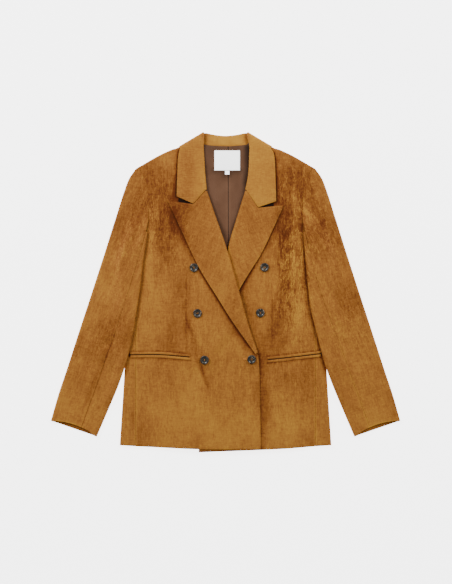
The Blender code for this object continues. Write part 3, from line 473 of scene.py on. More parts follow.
def crushed_pile_effect():
    """Crushed pile: brushed patches, mottling, fine light veins, and the weave showing through,
    with the painted tone, shade and highlight added, and the deepest painted shade going to a
    near-black painted shadow colour.
    """
    tree = bpy.data.node_groups.new("crushed_pile", "ShaderNodeTree")
    for way, sockets in (("INPUT", (("Place", "Vector"), ("Nap_and_shade", "Float"), ("Crush", "Float"),
                                    ("Painted_shadow", "Color"), ("Dark", "Color"), ("Middle", "Color"),
                                    ("Light", "Color"))),
                         ("OUTPUT", (("Color", "Color"), ("Roughness", "Float"),
                                     ("Height", "Float")))):
        for label, kind in sockets:
            tree.interface.new_socket(name=label, in_out=way, socket_type=f"NodeSocket{kind}")
    start = node(tree, "NodeGroupInput")
    end = node(tree, "NodeGroupOutput")

    def maths(operation, *values, clamp=False):
        return node(tree, "ShaderNodeMath", dict(enumerate(values)), operation=operation,
                    use_clamp=clamp).outputs[0]

    def vectors(operation, *values):
        return node(tree, "ShaderNodeVectorMath", dict(enumerate(values)),
                    operation=operation).outputs[0]

    def cloud(place, scale, detail, roughness, distortion=0.0):
        return node(tree, "ShaderNodeTexNoise",
                    {"Vector": place, "Scale": scale, "Detail": detail, "Roughness": roughness,
                     "Distortion": distortion})

    def share_of(tone, low, high):
        return node(tree, "ShaderNodeMapRange",
                    {"Value": tone, "From Min": low, "From Max": high}).outputs[0]

    def mixed(factor, first, second):
        """Sockets 6 and 7 take this node's two colours, and 2 gives the mixed one."""
        return node(tree, "ShaderNodeMix", {"Factor": factor, 6: first, 7: second},
                    data_type="RGBA").outputs[2]

    crush = start.outputs["Crush"]
    wander = cloud(start.outputs["Place"], 40.0, 3.0, 0.6).outputs["Color"]
    shift = vectors("MULTIPLY", vectors("SUBTRACT", wander, (0.5, 0.5, 0.5)), (0.010, 0.010, 0.0))
    wavy = vectors("ADD", start.outputs["Place"], shift)
    place = vectors("MULTIPLY", wavy, (1.0, 0.55, 1.0))
    drawn = vectors("MULTIPLY", wavy, (1.0, 0.20, 1.0))
    brushed = cloud(place, 11.0, 2.0, 0.5).outputs["Fac"]
    mottle = cloud(place, 70.0, 5.0, 0.70).outputs["Fac"]
    fleck = cloud(place, 300.0, 2.0, 0.65).outputs["Fac"]
    band = cloud(drawn, 70.0, 5.0, 0.66).outputs["Fac"]

    def vein(scale, width):
        wave = cloud(drawn, scale, 4.0, 0.62, 0.25).outputs["Fac"]
        ridge = maths("ABSOLUTE", maths("SUBTRACT", wave, 0.5))
        return maths("SUBTRACT", 1.0, maths("DIVIDE", ridge, width), clamp=True)

    veins = maths("ADD", vein(72.0, 0.022), maths("MULTIPLY", vein(150.0, 0.030), 0.6))
    warp = cloud(vectors("MULTIPLY", wavy, (480.0, 60.0, 60.0)), 1.0, 2.0, 0.5).outputs["Fac"]
    weft = cloud(vectors("MULTIPLY", wavy, (60.0, 480.0, 60.0)), 1.0, 2.0, 0.5).outputs["Fac"]
    weave = maths("SUBTRACT", maths("ADD", warp, weft), 1.0)
    tone = 0.5
    for texture, gain in ((brushed, 0.45), (mottle, maths("MULTIPLY_ADD", crush, 0.40, 0.22)),
                          (fleck, maths("MULTIPLY_ADD", crush, 0.28, 0.29)),
                          (band, maths("MULTIPLY", crush, 1.10))):
        tone = maths("MULTIPLY_ADD", maths("SUBTRACT", texture, 0.5), gain, tone)
    for texture, gain in ((veins, maths("MULTIPLY", crush, 0.40)), (crush, -0.14), (weave, 0.29)):
        tone = maths("MULTIPLY_ADD", texture, gain, tone)
    tone = maths("ADD", tone, start.outputs["Nap_and_shade"])
    colour = mixed(share_of(tone, 0.10, 0.52), start.outputs["Dark"], start.outputs["Middle"])
    colour = mixed(share_of(tone, 0.50, 0.90), colour, start.outputs["Light"])
    # Where painted shade is deepest, the pile goes to the near-black painted shadow colour.
    colour = mixed(share_of(tone, -0.60, 0.10), start.outputs["Painted_shadow"], colour)
    height = maths("MULTIPLY", maths("MULTIPLY", veins, crush), 0.5)
    for texture, gain in ((mottle, 0.6), (maths("MULTIPLY", band, crush), 0.9), (fleck, 0.5),
                          (weave, 0.30)):
        height = maths("MULTIPLY_ADD", texture, gain, height)
    feed(tree, end, {"Color": colour, "Roughness": maths("MULTIPLY_ADD", tone, -0.22, 0.95),
                     "Height": height})
    return tree


crushed_pile = crushed_pile_effect()
PILE_DARK = (0.136, 0.031, 0.0065, 1.0)
PILE_MIDDLE = (0.358, 0.138, 0.0255, 1.0)
PILE_LIGHT = (0.560, 0.266, 0.0335, 1.0)
# The near-black colour of painted shadow, in slits, notches and under edges.
PILE_PAINTED_SHADOW = (0.014, 0.0060, 0.0040, 1.0)


def pile_finish(name, turn=0.0, shift=(0.0, 0.0, 0.0)):
    """Pile cloth for one piece, its grain turned the way the piece was cut."""
    material, tree, shader = plain_material(name)
    grain = node(tree, "ShaderNodeMapping", {"Vector": place_in(tree), "Location": shift,
                                             "Rotation": (0.0, 0.0, turn)})
    pile = node(tree, "ShaderNodeGroup",
                {"Place": grain.outputs[0], "Nap_and_shade": painted(tree, "nap"),
                 "Crush": painted(tree, "crush"), "Painted_shadow": PILE_PAINTED_SHADOW, "Dark": PILE_DARK,
                 "Middle": PILE_MIDDLE, "Light": PILE_LIGHT}, node_tree=crushed_pile)
    relief = node(tree, "ShaderNodeBump", {"Strength": 0.55, "Distance": 0.0011,
                                           "Height": pile.outputs["Height"]})
    feed(tree, shader, {
        "Base Color": pile.outputs["Color"], "Roughness": pile.outputs["Roughness"],
        "Normal": relief.outputs["Normal"], "Specular IOR Level": 0.12,
        "Sheen Weight": 0.12, "Sheen Roughness": 0.40, "Sheen Tint": (0.90, 0.44, 0.18, 1.0)})
    return material


def pile_piece(name, grids, wall=CLOTH, turn=0.0, shift=(0.0, 0.0, 0.0), **sewing):
    """A piece of pile cloth, sewn and finished."""
    return sew(f"{name}_cloth", grids, wall, pile_finish(f"{name}_pile", turn, shift), **sewing)


def chest_level(x):
    """How high the fronts lie, lower towards the sides."""
    return FRONT_TOP - SIDE_SINK * ramp(abs(x), *CHEST_SLOPE)


back_ends, back_tops = [], []
for side, mirror in SIDES:
    side_seam = points_of(BACK_SIDE_SEAM, mirror) + [tuple(back_armhole(side)[1])]
    back_ends.append(joined(curve(side_seam, SIDE_ROWS), back_armhole(side)[1:]))
    back_tops.append(shoulder_line(side, SHOULDER_COLUMNS))
nape_seam = [(-x, y) for _, _, (x, y), _ in BACK_STATIONS]
nape_seam = np.array(nape_seam + [BACK_MIDDLE[1]] + [(-x, y) for x, y in nape_seam[::-1]])
nape_seam = nape_seam - np.array((0.0, SEAM))
back_edge = np.vstack((back_tops[0], nape_seam, back_tops[1][::-1]))
back_inward = np.vstack((across_line(back_tops[0], -1), [(0.0, -1.0)] * len(nape_seam),
                         across_line(back_tops[1][::-1], -1)))
shoulder_points = SHOULDER_COLUMNS + 1
back_weight = [1.0] * shoulder_points + [0.0] * len(nape_seam) + [1.0] * shoulder_points
back_fold = fold_rows(back_edge, back_inward, [chest_level(x) for x, _ in back_edge],
                      [back_bottom(x, y) for x, y in back_edge], back_weight, False)
back_high = back_fold[0][:, :2]
back_ends[0][-1], back_ends[1][-1] = back_high[0], back_high[-1]
back_hem = curve([back_ends[0][0], (0.0, BACK_HEM_DROP), back_ends[1][0]], len(back_edge) - 1)
back_grid = raised(patch(back_hem, back_high, *back_ends), back_bottom)
back_rows = (len(back_grid) - 1) * BACK_FINER[0] + 1
back_grid = finer(np.concatenate((back_grid, back_fold[1:])), *BACK_FINER,
                  column_breaks=(SHOULDER_COLUMNS, len(back_edge) - 1 - SHOULDER_COLUMNS))
back_grid[:back_rows, :, 2] = back_bottom(back_grid[:back_rows, :, 0], back_grid[:back_rows, :, 1])
back = pile_piece("back", [back_grid], flip=True)
declare(back)


# ---- Back lining ----------------------------------------------------------------------------
# Matte satin in two halves, seamed down the middle of the back and felled to the neck. It shows
# in the opening between the lapels, where it lies loose on the back and falls in a soft fold.
SATIN = 0.0010
LINING_BOTTOM = CLOTH + 0.0006  # the inner face of the lining, above the back's
NAPE_EASE = 0.0006  # how far its top edge stays below the neck seam
LINING_ROWS = 18
LINING_FINER = 6
NECK_COLUMNS = 4
NECK_IN, NECK_DOWN = 0.004, 0.010  # its corner beside the collar's fold
BESIDE_SEAM = 0.0040  # a row of points beside the middle seam
SEAM_GLEAM = 0.0030  # the light line beside that seam
SHOULDER_STATION = ((0.0489, 0.3625), (0.0604, 0.3555), (0.1043, 0.3298))
LINING_SEAM = (("hem", 0.0060, -0.3340), ("chest", 0.0066, 0.1000), ("nape", 0.0060, 0.3336))
LINING_SIDE = (("hem", 0.1480, -0.3300), ("waist", 0.1450, -0.1000), ("armhole", 0.1500, 0.1000),
               ("shoulder", 0.1550, 0.2750))
LINING_FOLDS = (
    # name, start (x, y), end (x, y), half width, height
    ("left_fold",  0.036, 0.325, 0.046, 0.235, 0.0045, 0.0011),
    ("left_fall",  0.030, 0.300, 0.020, 0.160, 0.0060, -0.0003),
    ("right_fall", -0.024, 0.270, -0.010, 0.150, 0.0070, 0.0007),
    ("ease",       0.010, 0.250, 0.012, 0.110, 0.0050, 0.0005),
)
LINING_FOLD_SHADES = (
    # line, reach, how much darker: the hollow of the fold, and the light along its top
    (((0.0505, 0.3300), (0.0505, 0.2900), (0.0450, 0.2500)), 0.0080, 0.52),
    (((0.0380, 0.3300), (0.0390, 0.2850), (0.0350, 0.2400)), 0.0040, -0.12),
)


def lining_top(x, y):
    """How high the lining's outer face lies."""
    return back_bottom(x, y) + LINING_BOTTOM + SATIN


def folds_at(rows, x, y):
    """How high a table of long soft folds stands at each place."""
    height = np.zeros_like(x)
    for _, ax, ay, bx, by, half_width, lift in rows:
        length = hypot(bx - ax, by - ay)
        along = np.clip(((x - ax) * (bx - ax) + (y - ay) * (by - ay)) / length ** 2, 0, 1)
        away = np.hypot(x - ax - along * (bx - ax), y - ay - along * (by - ay))
        height += lift * np.exp(-(away / half_width) ** 2) * np.sqrt(4 * along * (1 - along))
    return height


def lining_relief(places):
    """The lining's own folds, which the label follows."""
    return folds_at(LINING_FOLDS, places[:, 0], places[:, 1])


def clouded(tree, place, stops, **noise):
    """Colours that change in soft clouds: the stops of a ramp over a noise."""
    cloud = node(tree, "ShaderNodeTexNoise", {"Vector": place, **noise})
    colours = node(tree, "ShaderNodeValToRGB", {"Fac": cloud.outputs["Fac"]})
    elements = colours.color_ramp.elements
    elements[0].position, elements[-1].position = stops[0][0], stops[-1][0]
    for position, _ in stops[1:-1]:
        elements.new(position)
    for element, (_, colour) in zip(elements, stops):
        element.color = colour
    return colours.outputs["Color"]


def nap_and_shade_colour(tree, colour):
    """A colour darkened or lightened by the painted tone, shade and highlight in the nap attribute.
    """
    lit = node(tree, "ShaderNodeMath", {0: painted(tree, "nap"), 1: 1.0}, operation="ADD")
    shaded = node(tree, "ShaderNodeHueSaturation", {"Color": colour, "Value": lit.outputs[0]})
    return shaded.outputs["Color"]


satin, satin_tree, satin_shader = plain_material("brown_satin")
satin_place = place_in(satin_tree)
satin_turned = node(satin_tree, "ShaderNodeMapping",
                    {"Vector": satin_place, "Rotation": (0.0, 0.0, 0.9)})
satin_twill = node(satin_tree, "ShaderNodeTexWave",
                   {"Vector": satin_turned.outputs[0], "Scale": 420.0, "Distortion": 0.6})
satin_bump = node(satin_tree, "ShaderNodeBump", {"Strength": 0.22, "Distance": 0.0003,
                                                 "Height": satin_twill.outputs["Fac"]})
satin_colour = clouded(satin_tree, satin_place, ((0.30, (0.116, 0.053, 0.0270, 1.0)),
                                                 (0.72, (0.178, 0.088, 0.0480, 1.0))),
                       Scale=16.0, Detail=3.0)
feed(satin_tree, satin_shader, {
    "Base Color": nap_and_shade_colour(satin_tree, satin_colour), "Roughness": 0.42,
    "Normal": satin_bump.outputs["Normal"], "Specular IOR Level": 0.12, "Sheen Weight": 0.05})


def paint_shade_along(piece, line, reach, depth, below=1.0):
    """Paints shade on the part of a piece that lies below a level, along the edge of what lies on
    it; a negative depth paints a highlight there instead.
    """
    mesh = piece.data
    places = np.array([v.co[:2] for v in mesh.vertices])
    depth = depth * np.array([v.co.z < below for v in mesh.vertices])
    away = np.full(len(places), 1.0)
    for a, b in zip(line, line[1:]):
        a, way = np.array(a[:2]), np.array(b[:2]) - np.array(a[:2])
        along = np.clip((places - a) @ way / (way @ way), 0, 1)
        away = np.minimum(away, np.linalg.norm(places - a - along[:, None] * way, axis=1))
    nap = np.zeros(len(places), np.float32)
    mesh.attributes["nap"].data.foreach_get("value", nap)
    paint(mesh, "nap", nap - depth * np.exp(-(away / reach) ** 2))


linings = {}
for side, mirror in SIDES:
    lining_middle = curve(points_of(LINING_SEAM), LINING_ROWS) - np.array((mirror * SEAM, 0.0))
    lining_edge = curve(points_of(LINING_SIDE, mirror), LINING_ROWS)
    neck_side = np.array((mirror * (SHOULDER_STATION[1][0] - NECK_IN),
                          SHOULDER_STATION[1][1] - NECK_DOWN))
    lining_nape = [(mirror * x, y) for _, _, (x, y), _ in BACK_STATIONS]
    lining_nape = np.array(lining_nape + [tuple(lining_middle[-1])]) - np.array((0.0, NAPE_EASE))
    lining_high = np.vstack((curve([lining_edge[-1], neck_side], NECK_COLUMNS), lining_nape))
    lining_low = curve([lining_edge[0], lining_middle[0]], len(lining_high) - 1)
    lining_plan = patch(lining_low, lining_high, lining_edge, lining_middle)
    beside_seam = lining_plan[:, -1:] + np.array((mirror * BESIDE_SEAM, 0.0))
    lining_plan = np.concatenate((lining_plan[:, :-1], beside_seam, lining_plan[:, -1:]), axis=1)
    lining_grid = finer(raised(lining_plan, lining_top), LINING_FINER, LINING_FINER,
                        column_breaks=(NECK_COLUMNS, NECK_COLUMNS + 1))
    lining_grid[..., 2] = lining_top(lining_grid[..., 0], lining_grid[..., 1])
    lining = sew(f"lining_back_{side}_cloth", [lining_grid], SATIN, satin,
                 flip=side == "left", relief=lining_relief, rim=0.0002)
    # Painted shade in the middle seam, a painted highlight beside it, and painted shade spreading
    # down from the nape.
    for line, reach, depth in ((lining_middle + (mirror * SEAM, 0.0), 0.0010, 0.80),
                               (lining_middle + (mirror * SEAM_GLEAM, 0.0), 0.0020, -0.12),
                               (lining_nape, 0.0450, 0.26)):
        paint_shade_along(lining, line, reach, depth)
    declare(lining)
    linings[side] = lining
for line, reach, depth in LINING_FOLD_SHADES:
    paint_shade_along(linings["left"], line, reach, depth)


# ---- Label and size tab ---------------------------------------------------------------------
# A plain woven label, tacked to the lining at its corners, with a narrow size tab just below
# its lower edge. Both are bare.
TAPE = 0.0010
TAPE_LIFT = 0.0005  # how high the middle of a tape stands
LABEL_BOX = (-0.0255, 0.0327, 0.2783, 0.3236)
TAB_BOX = (-0.0012, 0.0088, 0.2687, 0.2775)
TAPES = (
    # name, box, length sewn in under the label, points across, points up
    ("label", LABEL_BOX, 0.0, 41, 33),
    ("size_tab", TAB_BOX, 0.0015, 13, 11),
)
woven, woven_tree, woven_shader = plain_material("glowing_white_woven_tape")
woven_place = place_in(woven_tree)
woven_yarns = [
    node(woven_tree, "ShaderNodeTexWave", {"Vector": woven_place, "Scale": scale},
         bands_direction=way).outputs["Fac"] for way, scale in (("X", 520.0), ("Y", 640.0))]
woven_height = node(woven_tree, "ShaderNodeMath", dict(enumerate(woven_yarns)),
                    operation="MULTIPLY")
woven_bump = node(woven_tree, "ShaderNodeBump", {"Strength": 0.25, "Distance": 0.0002,
                                                 "Height": woven_height.outputs[0]})
woven_colour = clouded(woven_tree, woven_place, ((0.0, (0.88, 0.89, 0.88, 1.0)),
                                                 (1.0, (0.95, 0.96, 0.95, 1.0))), Scale=90.0)
# The tape glows a little, painted light that keeps it near white; painted shade at its edges dims
# the glow.
feed(woven_tree, woven_shader, {
    "Base Color": woven_colour, "Roughness": 0.62, "Normal": woven_bump.outputs["Normal"],
    "Emission Color": nap_and_shade_colour(woven_tree, woven_colour), "Emission Strength": 2.30,
    "Sheen Weight": 0.10})


def tape_relief(box):
    """A tape lifts a little between the tacks at its corners."""
    left, right, bottom, top = box

    def lift(places):
        u = (places[:, 0] - left) / (right - left)
        v = (places[:, 1] - bottom) / (top - bottom)
        arch = np.clip(4 * u * (1 - u), 0, 1) * np.clip(4 * v * (1 - v), 0, 1)
        return TAPE_LIFT * arch + lining_relief(places)

    return lift


for name, box, seam_end, columns, rows in TAPES:
    left, right, bottom, top = box
    tape_plan = np.array([[(x, y) for x in np.linspace(left, right, columns)]
                          for y in np.linspace(bottom, top, rows)])
    tape_grid = raised(tape_plan, lambda x, y: lining_top(x, y) + SEAM + TAPE)
    tape = sew(f"{name}_cloth", [tape_grid], TAPE, woven, relief=tape_relief(box), rim=0.0001)
    # Painted shade along the tape's edges, and a painted shadow on the lining below its lower edge.
    tape_edge = [(left, bottom), (left, top), (right, top), (right, bottom), (left, bottom)]
    paint_shade_along(tape, tape_edge, 0.0022, 0.12)
    for half in linings.values():
        paint_shade_along(half, tape_edge[-2:], 0.0064, 0.42)
    declare(tape)


# ---- Side panels ----------------------------------------------------------------------------
# The body has a panel under each arm. It is sewn to the front and to the back, and it holds the
# fold at which the jacket turns under when it is laid flat.
SIDE_TOP = FRONT_TOP - SIDE_SINK
SIDE_FINER = (6, 4)
SIDE_FOLD = (("hem", 0.2421, -0.3505), ("hip", 0.2313, -0.1792), ("waist", 0.2290, -0.0872),
             ("underarm", 0.2278, 0.0773))
FRONT_SIDE_SEAM = (("hem", 0.2050, -0.3526), ("top", 0.2048, 0.0968))
FOLD_TURNS = 4


def half_turn(count, start=-pi / 2, end=pi / 2):
    """The angles of a turn, cut into equal steps."""
    return [start + (end - start) * k / count for k in range(count + 1)]


side_panels = {}
for side, mirror in SIDES:
    r = SIDE_TOP / 2
    panel_rows = []
    fold_top = back_armhole(side)[1]
    back_seam = curve(points_of(BACK_SIDE_SEAM) + [(abs(fold_top[0]), fold_top[1])], SIDE_ROWS)
    for (fx, fy), (sx, sy), (bx, by) in zip(curve(points_of(FRONT_SIDE_SEAM), SIDE_ROWS),
                                            curve(points_of(SIDE_FOLD), SIDE_ROWS), back_seam):
        row = [(fx + SEAM, fy, SIDE_TOP), (fx + (sx - r - fx) / 2, (fy + sy) / 2, SIDE_TOP)]
        for angle in half_turn(FOLD_TURNS):
            row.append((sx - r + r * cos(angle), sy, r - r * sin(angle)))
        row += [(sx - r + (bx + SEAM - sx + r) * t, sy + (by - sy) * t, 0.0)
                for t in (0.33, 0.67, 1.0)]
        panel_rows.append([(mirror * x, y, z) for x, y, z in row])
    side_panel = pile_piece(f"side_panel_{side}", [finer(panel_rows, *SIDE_FINER)],
                            shift=(0.7 * mirror, 0.3, 0.0), flip=side == "right", nap=0.03)
    side_panels[side] = side_panel
    declare(side_panel)


# ---- Fronts ---------------------------------------------------------------------------------
# Each front is one piece of pile cloth from the side seam to the opening, shaped by a dart below
# the chest. The wearer's right front laps over the left one and climbs over its lapel.
LEAF = 0.0022  # thickness of the lapels and the collar
LAY = 0.0005  # gap between two layers of the body
LAPEL_LAY = 0.0010  # gap between a front and its lapel
LAPEL_ROLL = (CLOTH + 2 * LAPEL_LAY + 2 * LEAF) / 2
CLIMB = (-0.085, -0.015)  # before the left front's edge, the right one rises onto it
LAPEL_END, LAPEL_FOOT = (0.012, 0.045), (-0.190, -0.150)  # where the left lapel under it ends
FACING_END, FACING_FOOT = (-0.060, -0.018), (-0.195, -0.145)  # and where its facing does
STILL_SIDE, STILL_TOP = (0.172, 0.196), (0.245, 0.300)  # the folds end before the seams
FRONT_FINER = 8
BODY_COLUMNS = 16
ROLL_ROWS = 8
EDGE_ROWS = 5
EDGE_STEPS = 12
BESIDE_EDGE = 0.0012
OVERLAP_HEM = (-0.3662, -0.3610)  # y of the hem at the left and at the right edge
HEM_MIDDLE = {"right": (-0.0634, -0.3588), "left": (0.1200, -0.3590)}
ARMHOLE_LOW = (("turn", 0.1864, 0.1244), ("side_seam", 0.2048, 0.0968))
FRONT_EDGE = {
    "right": (("hem", 0.0804, -0.3595), ("hip", 0.0781, -0.2022), ("break", 0.0745, -0.1440)),
    "left": (("hem", -0.0613, -0.3662), ("hip", -0.0599, -0.2022), ("break", -0.0580, -0.1440)),
}
ROLL_LINE = {
    "right": (("break", 0.0739, -0.1378), ("waist", 0.0514, -0.0711),
              ("top_button", 0.0307, 0.0048), ("crossing", 0.0038, 0.0968),
              ("chest", -0.0254, 0.1819), ("gorge", -0.0422, 0.2316)),
    "left": (("break", -0.0576, -0.1378), ("waist", -0.0355, -0.0711),
             ("top_button", -0.0148, 0.0048), ("crossing", 0.0040, 0.0968),
             ("chest", 0.0255, 0.1700), ("gorge", 0.0447, 0.2316)),
}
LAPEL_EDGE = {
    "right": (("break", 0.0698, -0.1431), ("waist", 0.0185, -0.0711), ("button", -0.0164, -0.0156),
              ("chest", -0.0606, 0.0561), ("belly", -0.0967, 0.1325), ("peak", -0.1314, 0.2077)),
    "left": (("break", -0.0519, -0.1424), ("waist", -0.0026, -0.0711), ("button", 0.0307, 0.0039),
             ("chest", 0.0585, 0.0508), ("belly", 0.0861, 0.0968), ("peak", 0.1328, 0.1980)),
}
NECK_SEAM = {
    "right": ((-0.0472, 0.2364), (-0.0558, 0.2601), (-0.0624, 0.2843), (-0.0657, 0.3119),
              (-0.0650, 0.3337)),
    "left": ((0.0492, 0.2364), (0.0604, 0.2601), (0.0666, 0.2843), (0.0670, 0.3119),
             (0.0655, 0.3337)),
}
FRONT_FOLDS = (
    # name, start (x, y), end (x, y), half width, height
    ("button_pull",      -0.0781, -0.0849, -0.0431, -0.1884, 0.0060, -0.0014),
    ("pull_ridge",       -0.0700, -0.0870, -0.0340, -0.1900, 0.0060, 0.0011),
    ("under_lapel",      -0.0036, -0.0412, 0.0332, -0.0987, 0.0090, -0.0010),
    ("right_side_fall",  -0.1738, 0.0692, -0.1508, -0.0700, 0.0100, 0.0012),
    ("right_side_dip",   -0.1560, 0.0500, -0.1330, -0.0900, 0.0080, -0.0010),
    ("right_chest",      -0.1500, 0.2500, -0.1350, 0.0900, 0.0090, 0.0010),
    ("right_skirt",      -0.1300, -0.1700, -0.1500, -0.3400, 0.0140, 0.0011),
    ("right_skirt_dip",  -0.0900, -0.2000, -0.1050, -0.3500, 0.0120, -0.0009),
    ("front_skirt",      0.0150, -0.1900, 0.0100, -0.3500, 0.0150, 0.0010),
    ("left_vein",        0.1344, 0.1888, 0.1450, -0.0200, 0.0050, 0.0012),
    ("left_vein_low",    0.1460, 0.0300, 0.1560, -0.1200, 0.0055, 0.0012),
    ("left_vein_dip",    0.1230, 0.1500, 0.1330, -0.0600, 0.0050, -0.0010),
    ("left_outer_vein",  0.1600, 0.2200, 0.1640, 0.0600, 0.0050, 0.0009),
    ("left_skirt",       0.1650, -0.1800, 0.1750, -0.3400, 0.0110, 0.0011),
    ("left_skirt_dip",   0.1300, -0.1900, 0.1380, -0.3500, 0.0110, -0.0009),
    ("pocket_pull",      0.0850, -0.1300, 0.1300, -0.1240, 0.0050, 0.0008),
)
CHEST_WAVES = (
    # height, two crossing waves: how fast along x, along y, start
    (0.0004, (41, 17, 0.6), (-13, 29, 1.9)),
    (0.00025, (83, -22, 2.2), (31, 57, 0.0)),
)
DARTS = (
    # name, start (x, y), end (x, y), half width, height
    ("right_dart", -0.0898, 0.0324, -0.0898, -0.1355, 0.0017, -0.0009),
    ("left_dart",  0.1068, 0.0692, 0.1068, -0.1263, 0.0017, -0.0009),
)


def x_at(rows, y):
    """The x of a named line at a height on the body."""
    line = sorted((row[2], row[1]) for row in rows)
    return np.interp(y, [p[0] for p in line], [p[1] for p in line])


def opening_x(side, y):
    """Where a front's opening edge is at a height on the body."""
    return x_at(FRONT_EDGE[side] + ROLL_LINE[side], y)


def front_top(side, x, y):
    """The fronts lie flat, and the right one climbs over the left front, its lapel and facing."""
    level = chest_level(x)
    if side == "left":
        return level
    over = ramp(x - opening_x("left", y), *CLIMB)
    past_lapel = ramp(x - x_at(LAPEL_EDGE["left"], y), *LAPEL_END)
    over_lapel = over * (1 - past_lapel) * ramp(y, *LAPEL_FOOT)
    over_facing = over * ramp(y, *FACING_FOOT) * ramp(x - opening_x("right", y), *FACING_END)
    return level + (CLOTH + LAY) * over + (LEAF + LAPEL_LAY) * (over_lapel + over_facing)


def crossing_waves(rows, x, y):
    """A slow unevenness, from a table of waves that cross one another."""
    return sum(height * np.sin(a * x + b * y + c) * np.sin(d * x + e * y + f)
               for height, (a, b, c), (d, e, f) in rows)


def chest_relief(places):
    """The easy lie of the fronts: long soft folds, and a slow unevenness between them."""
    x, y = places[:, 0], places[:, 1]
    still = (1 - ramp(np.abs(x), *STILL_SIDE)) * (1 - ramp(y, *STILL_TOP))
    return (folds_at(FRONT_FOLDS, x, y) + crossing_waves(CHEST_WAVES, x, y)) * still


def front_relief(places):
    """The lie of the fronts and the fine dip at each dart."""
    return chest_relief(places) + folds_at(DARTS, places[:, 0], places[:, 1])


fronts, front_faces = {}, {}
for side, mirror in SIDES:
    armhole = np.array([row[2:4] for row in sections(side)[:5]][::-1])
    shoulder = shoulder_line(side, BODY_COLUMNS)
    coarse = shoulder_line(side, SHOULDER_COLUMNS)
    at = np.linspace(0, SHOULDER_COLUMNS, BODY_COLUMNS + 1)
    run = range(SHOULDER_COLUMNS + 1)
    shoulder_high = np.interp(at, run, [front_top(side, x, y) for x, y in coarse])
    shoulder_low = np.interp(at, run, [back_bottom(x, y) for x, y in coarse])
    front_fold = fold_rows(shoulder, across_line(shoulder, mirror), shoulder_high, shoulder_low,
                           np.ones(len(shoulder)), True)
    front_high = front_fold[0][:, :2]
    armhole[-1] = front_high[0]
    outer = joined(curve(points_of(FRONT_SIDE_SEAM, mirror), SIDE_ROWS),
                   np.array(points_of(ARMHOLE_LOW, mirror)[::-1] + [tuple(armhole[0])]), armhole)
    roll = curve(points_of(ROLL_LINE[side]), ROLL_ROWS)
    roll = roll + across_line(roll, -mirror) * (LAPEL_ROLL - LAY)
    neck = np.array(NECK_SEAM[side]) + np.array((mirror * SEAM, 0.0))
    inner = np.vstack((curve(points_of(FRONT_EDGE[side]), EDGE_ROWS), roll, neck, front_high[-1:]))
    front_hem = curve([outer[0], HEM_MIDDLE[side], inner[0]], BODY_COLUMNS)
    front_grid = raised(patch(front_hem, front_high, outer, inner),
                        lambda x, y: front_top(side, x, y))
    last_row = len(front_grid) - 1
    plain_rows = last_row * FRONT_FINER + 1
    front_grid = finer(np.concatenate((front_grid, front_fold[1:])), FRONT_FINER, FRONT_FINER,
                       row_breaks=(EDGE_ROWS, EDGE_ROWS + 1, SIDE_ROWS, SIDE_ROWS + 1,
                                   SIDE_ROWS + 2, last_row))
    front_grid[:plain_rows, :, 2] = front_top(side, front_grid[:plain_rows, :, 0],
                                              front_grid[:plain_rows, :, 1])
    front = pile_piece(f"front_{side}", [front_grid], shift=(0.0, 0.0, 0.2 * mirror),
                       flip=side == "left", relief=front_relief)
    declare(front)
    front_bm = bmesh.new()
    front_bm.from_mesh(front.data)
    front_faces[side] = BVHTree.FromBMesh(front_bm)
    front_bm.free()
    fronts[side] = front
# Painted shade on the left front beside the right front's edge and beside its roll.
overlap = curve(points_of(FRONT_EDGE["right"]), EDGE_STEPS) + (BESIDE_EDGE, 0.0)
roll_side = curve(points_of(ROLL_LINE["right"]), EDGE_STEPS)[:8]
for line, reach, depth in ((overlap, 0.0075, 0.22), (roll_side, 0.0340, 0.13),
                           (roll_side, 0.0120, 0.04)):
    paint_shade_along(fronts["left"], line, reach, depth)
# Painted shade along each dart.
for (_, ax, ay, bx, by, _, _), side in zip(DARTS, ("right", "left")):
    paint_shade_along(fronts[side], [(ax, ay), (bx, by)], 0.0020, 0.10)
# A painted highlight along each side seam, on the front and on the side panel.
for side, mirror in SIDES:
    side_seam = curve(points_of(FRONT_SIDE_SEAM, mirror), SIDE_ROWS)
    for piece in (fronts[side], side_panels[side]):
        paint_shade_along(piece, side_seam, 0.0024, -0.15)
# Painted shade on the left front's hem, where it shows below the right front.
under_hem = [(FRONT_EDGE[side][0][1], y) for side, y in zip(("left", "right"), OVERLAP_HEM)]
paint_shade_along(fronts["left"], under_hem, 0.0045, 0.24)


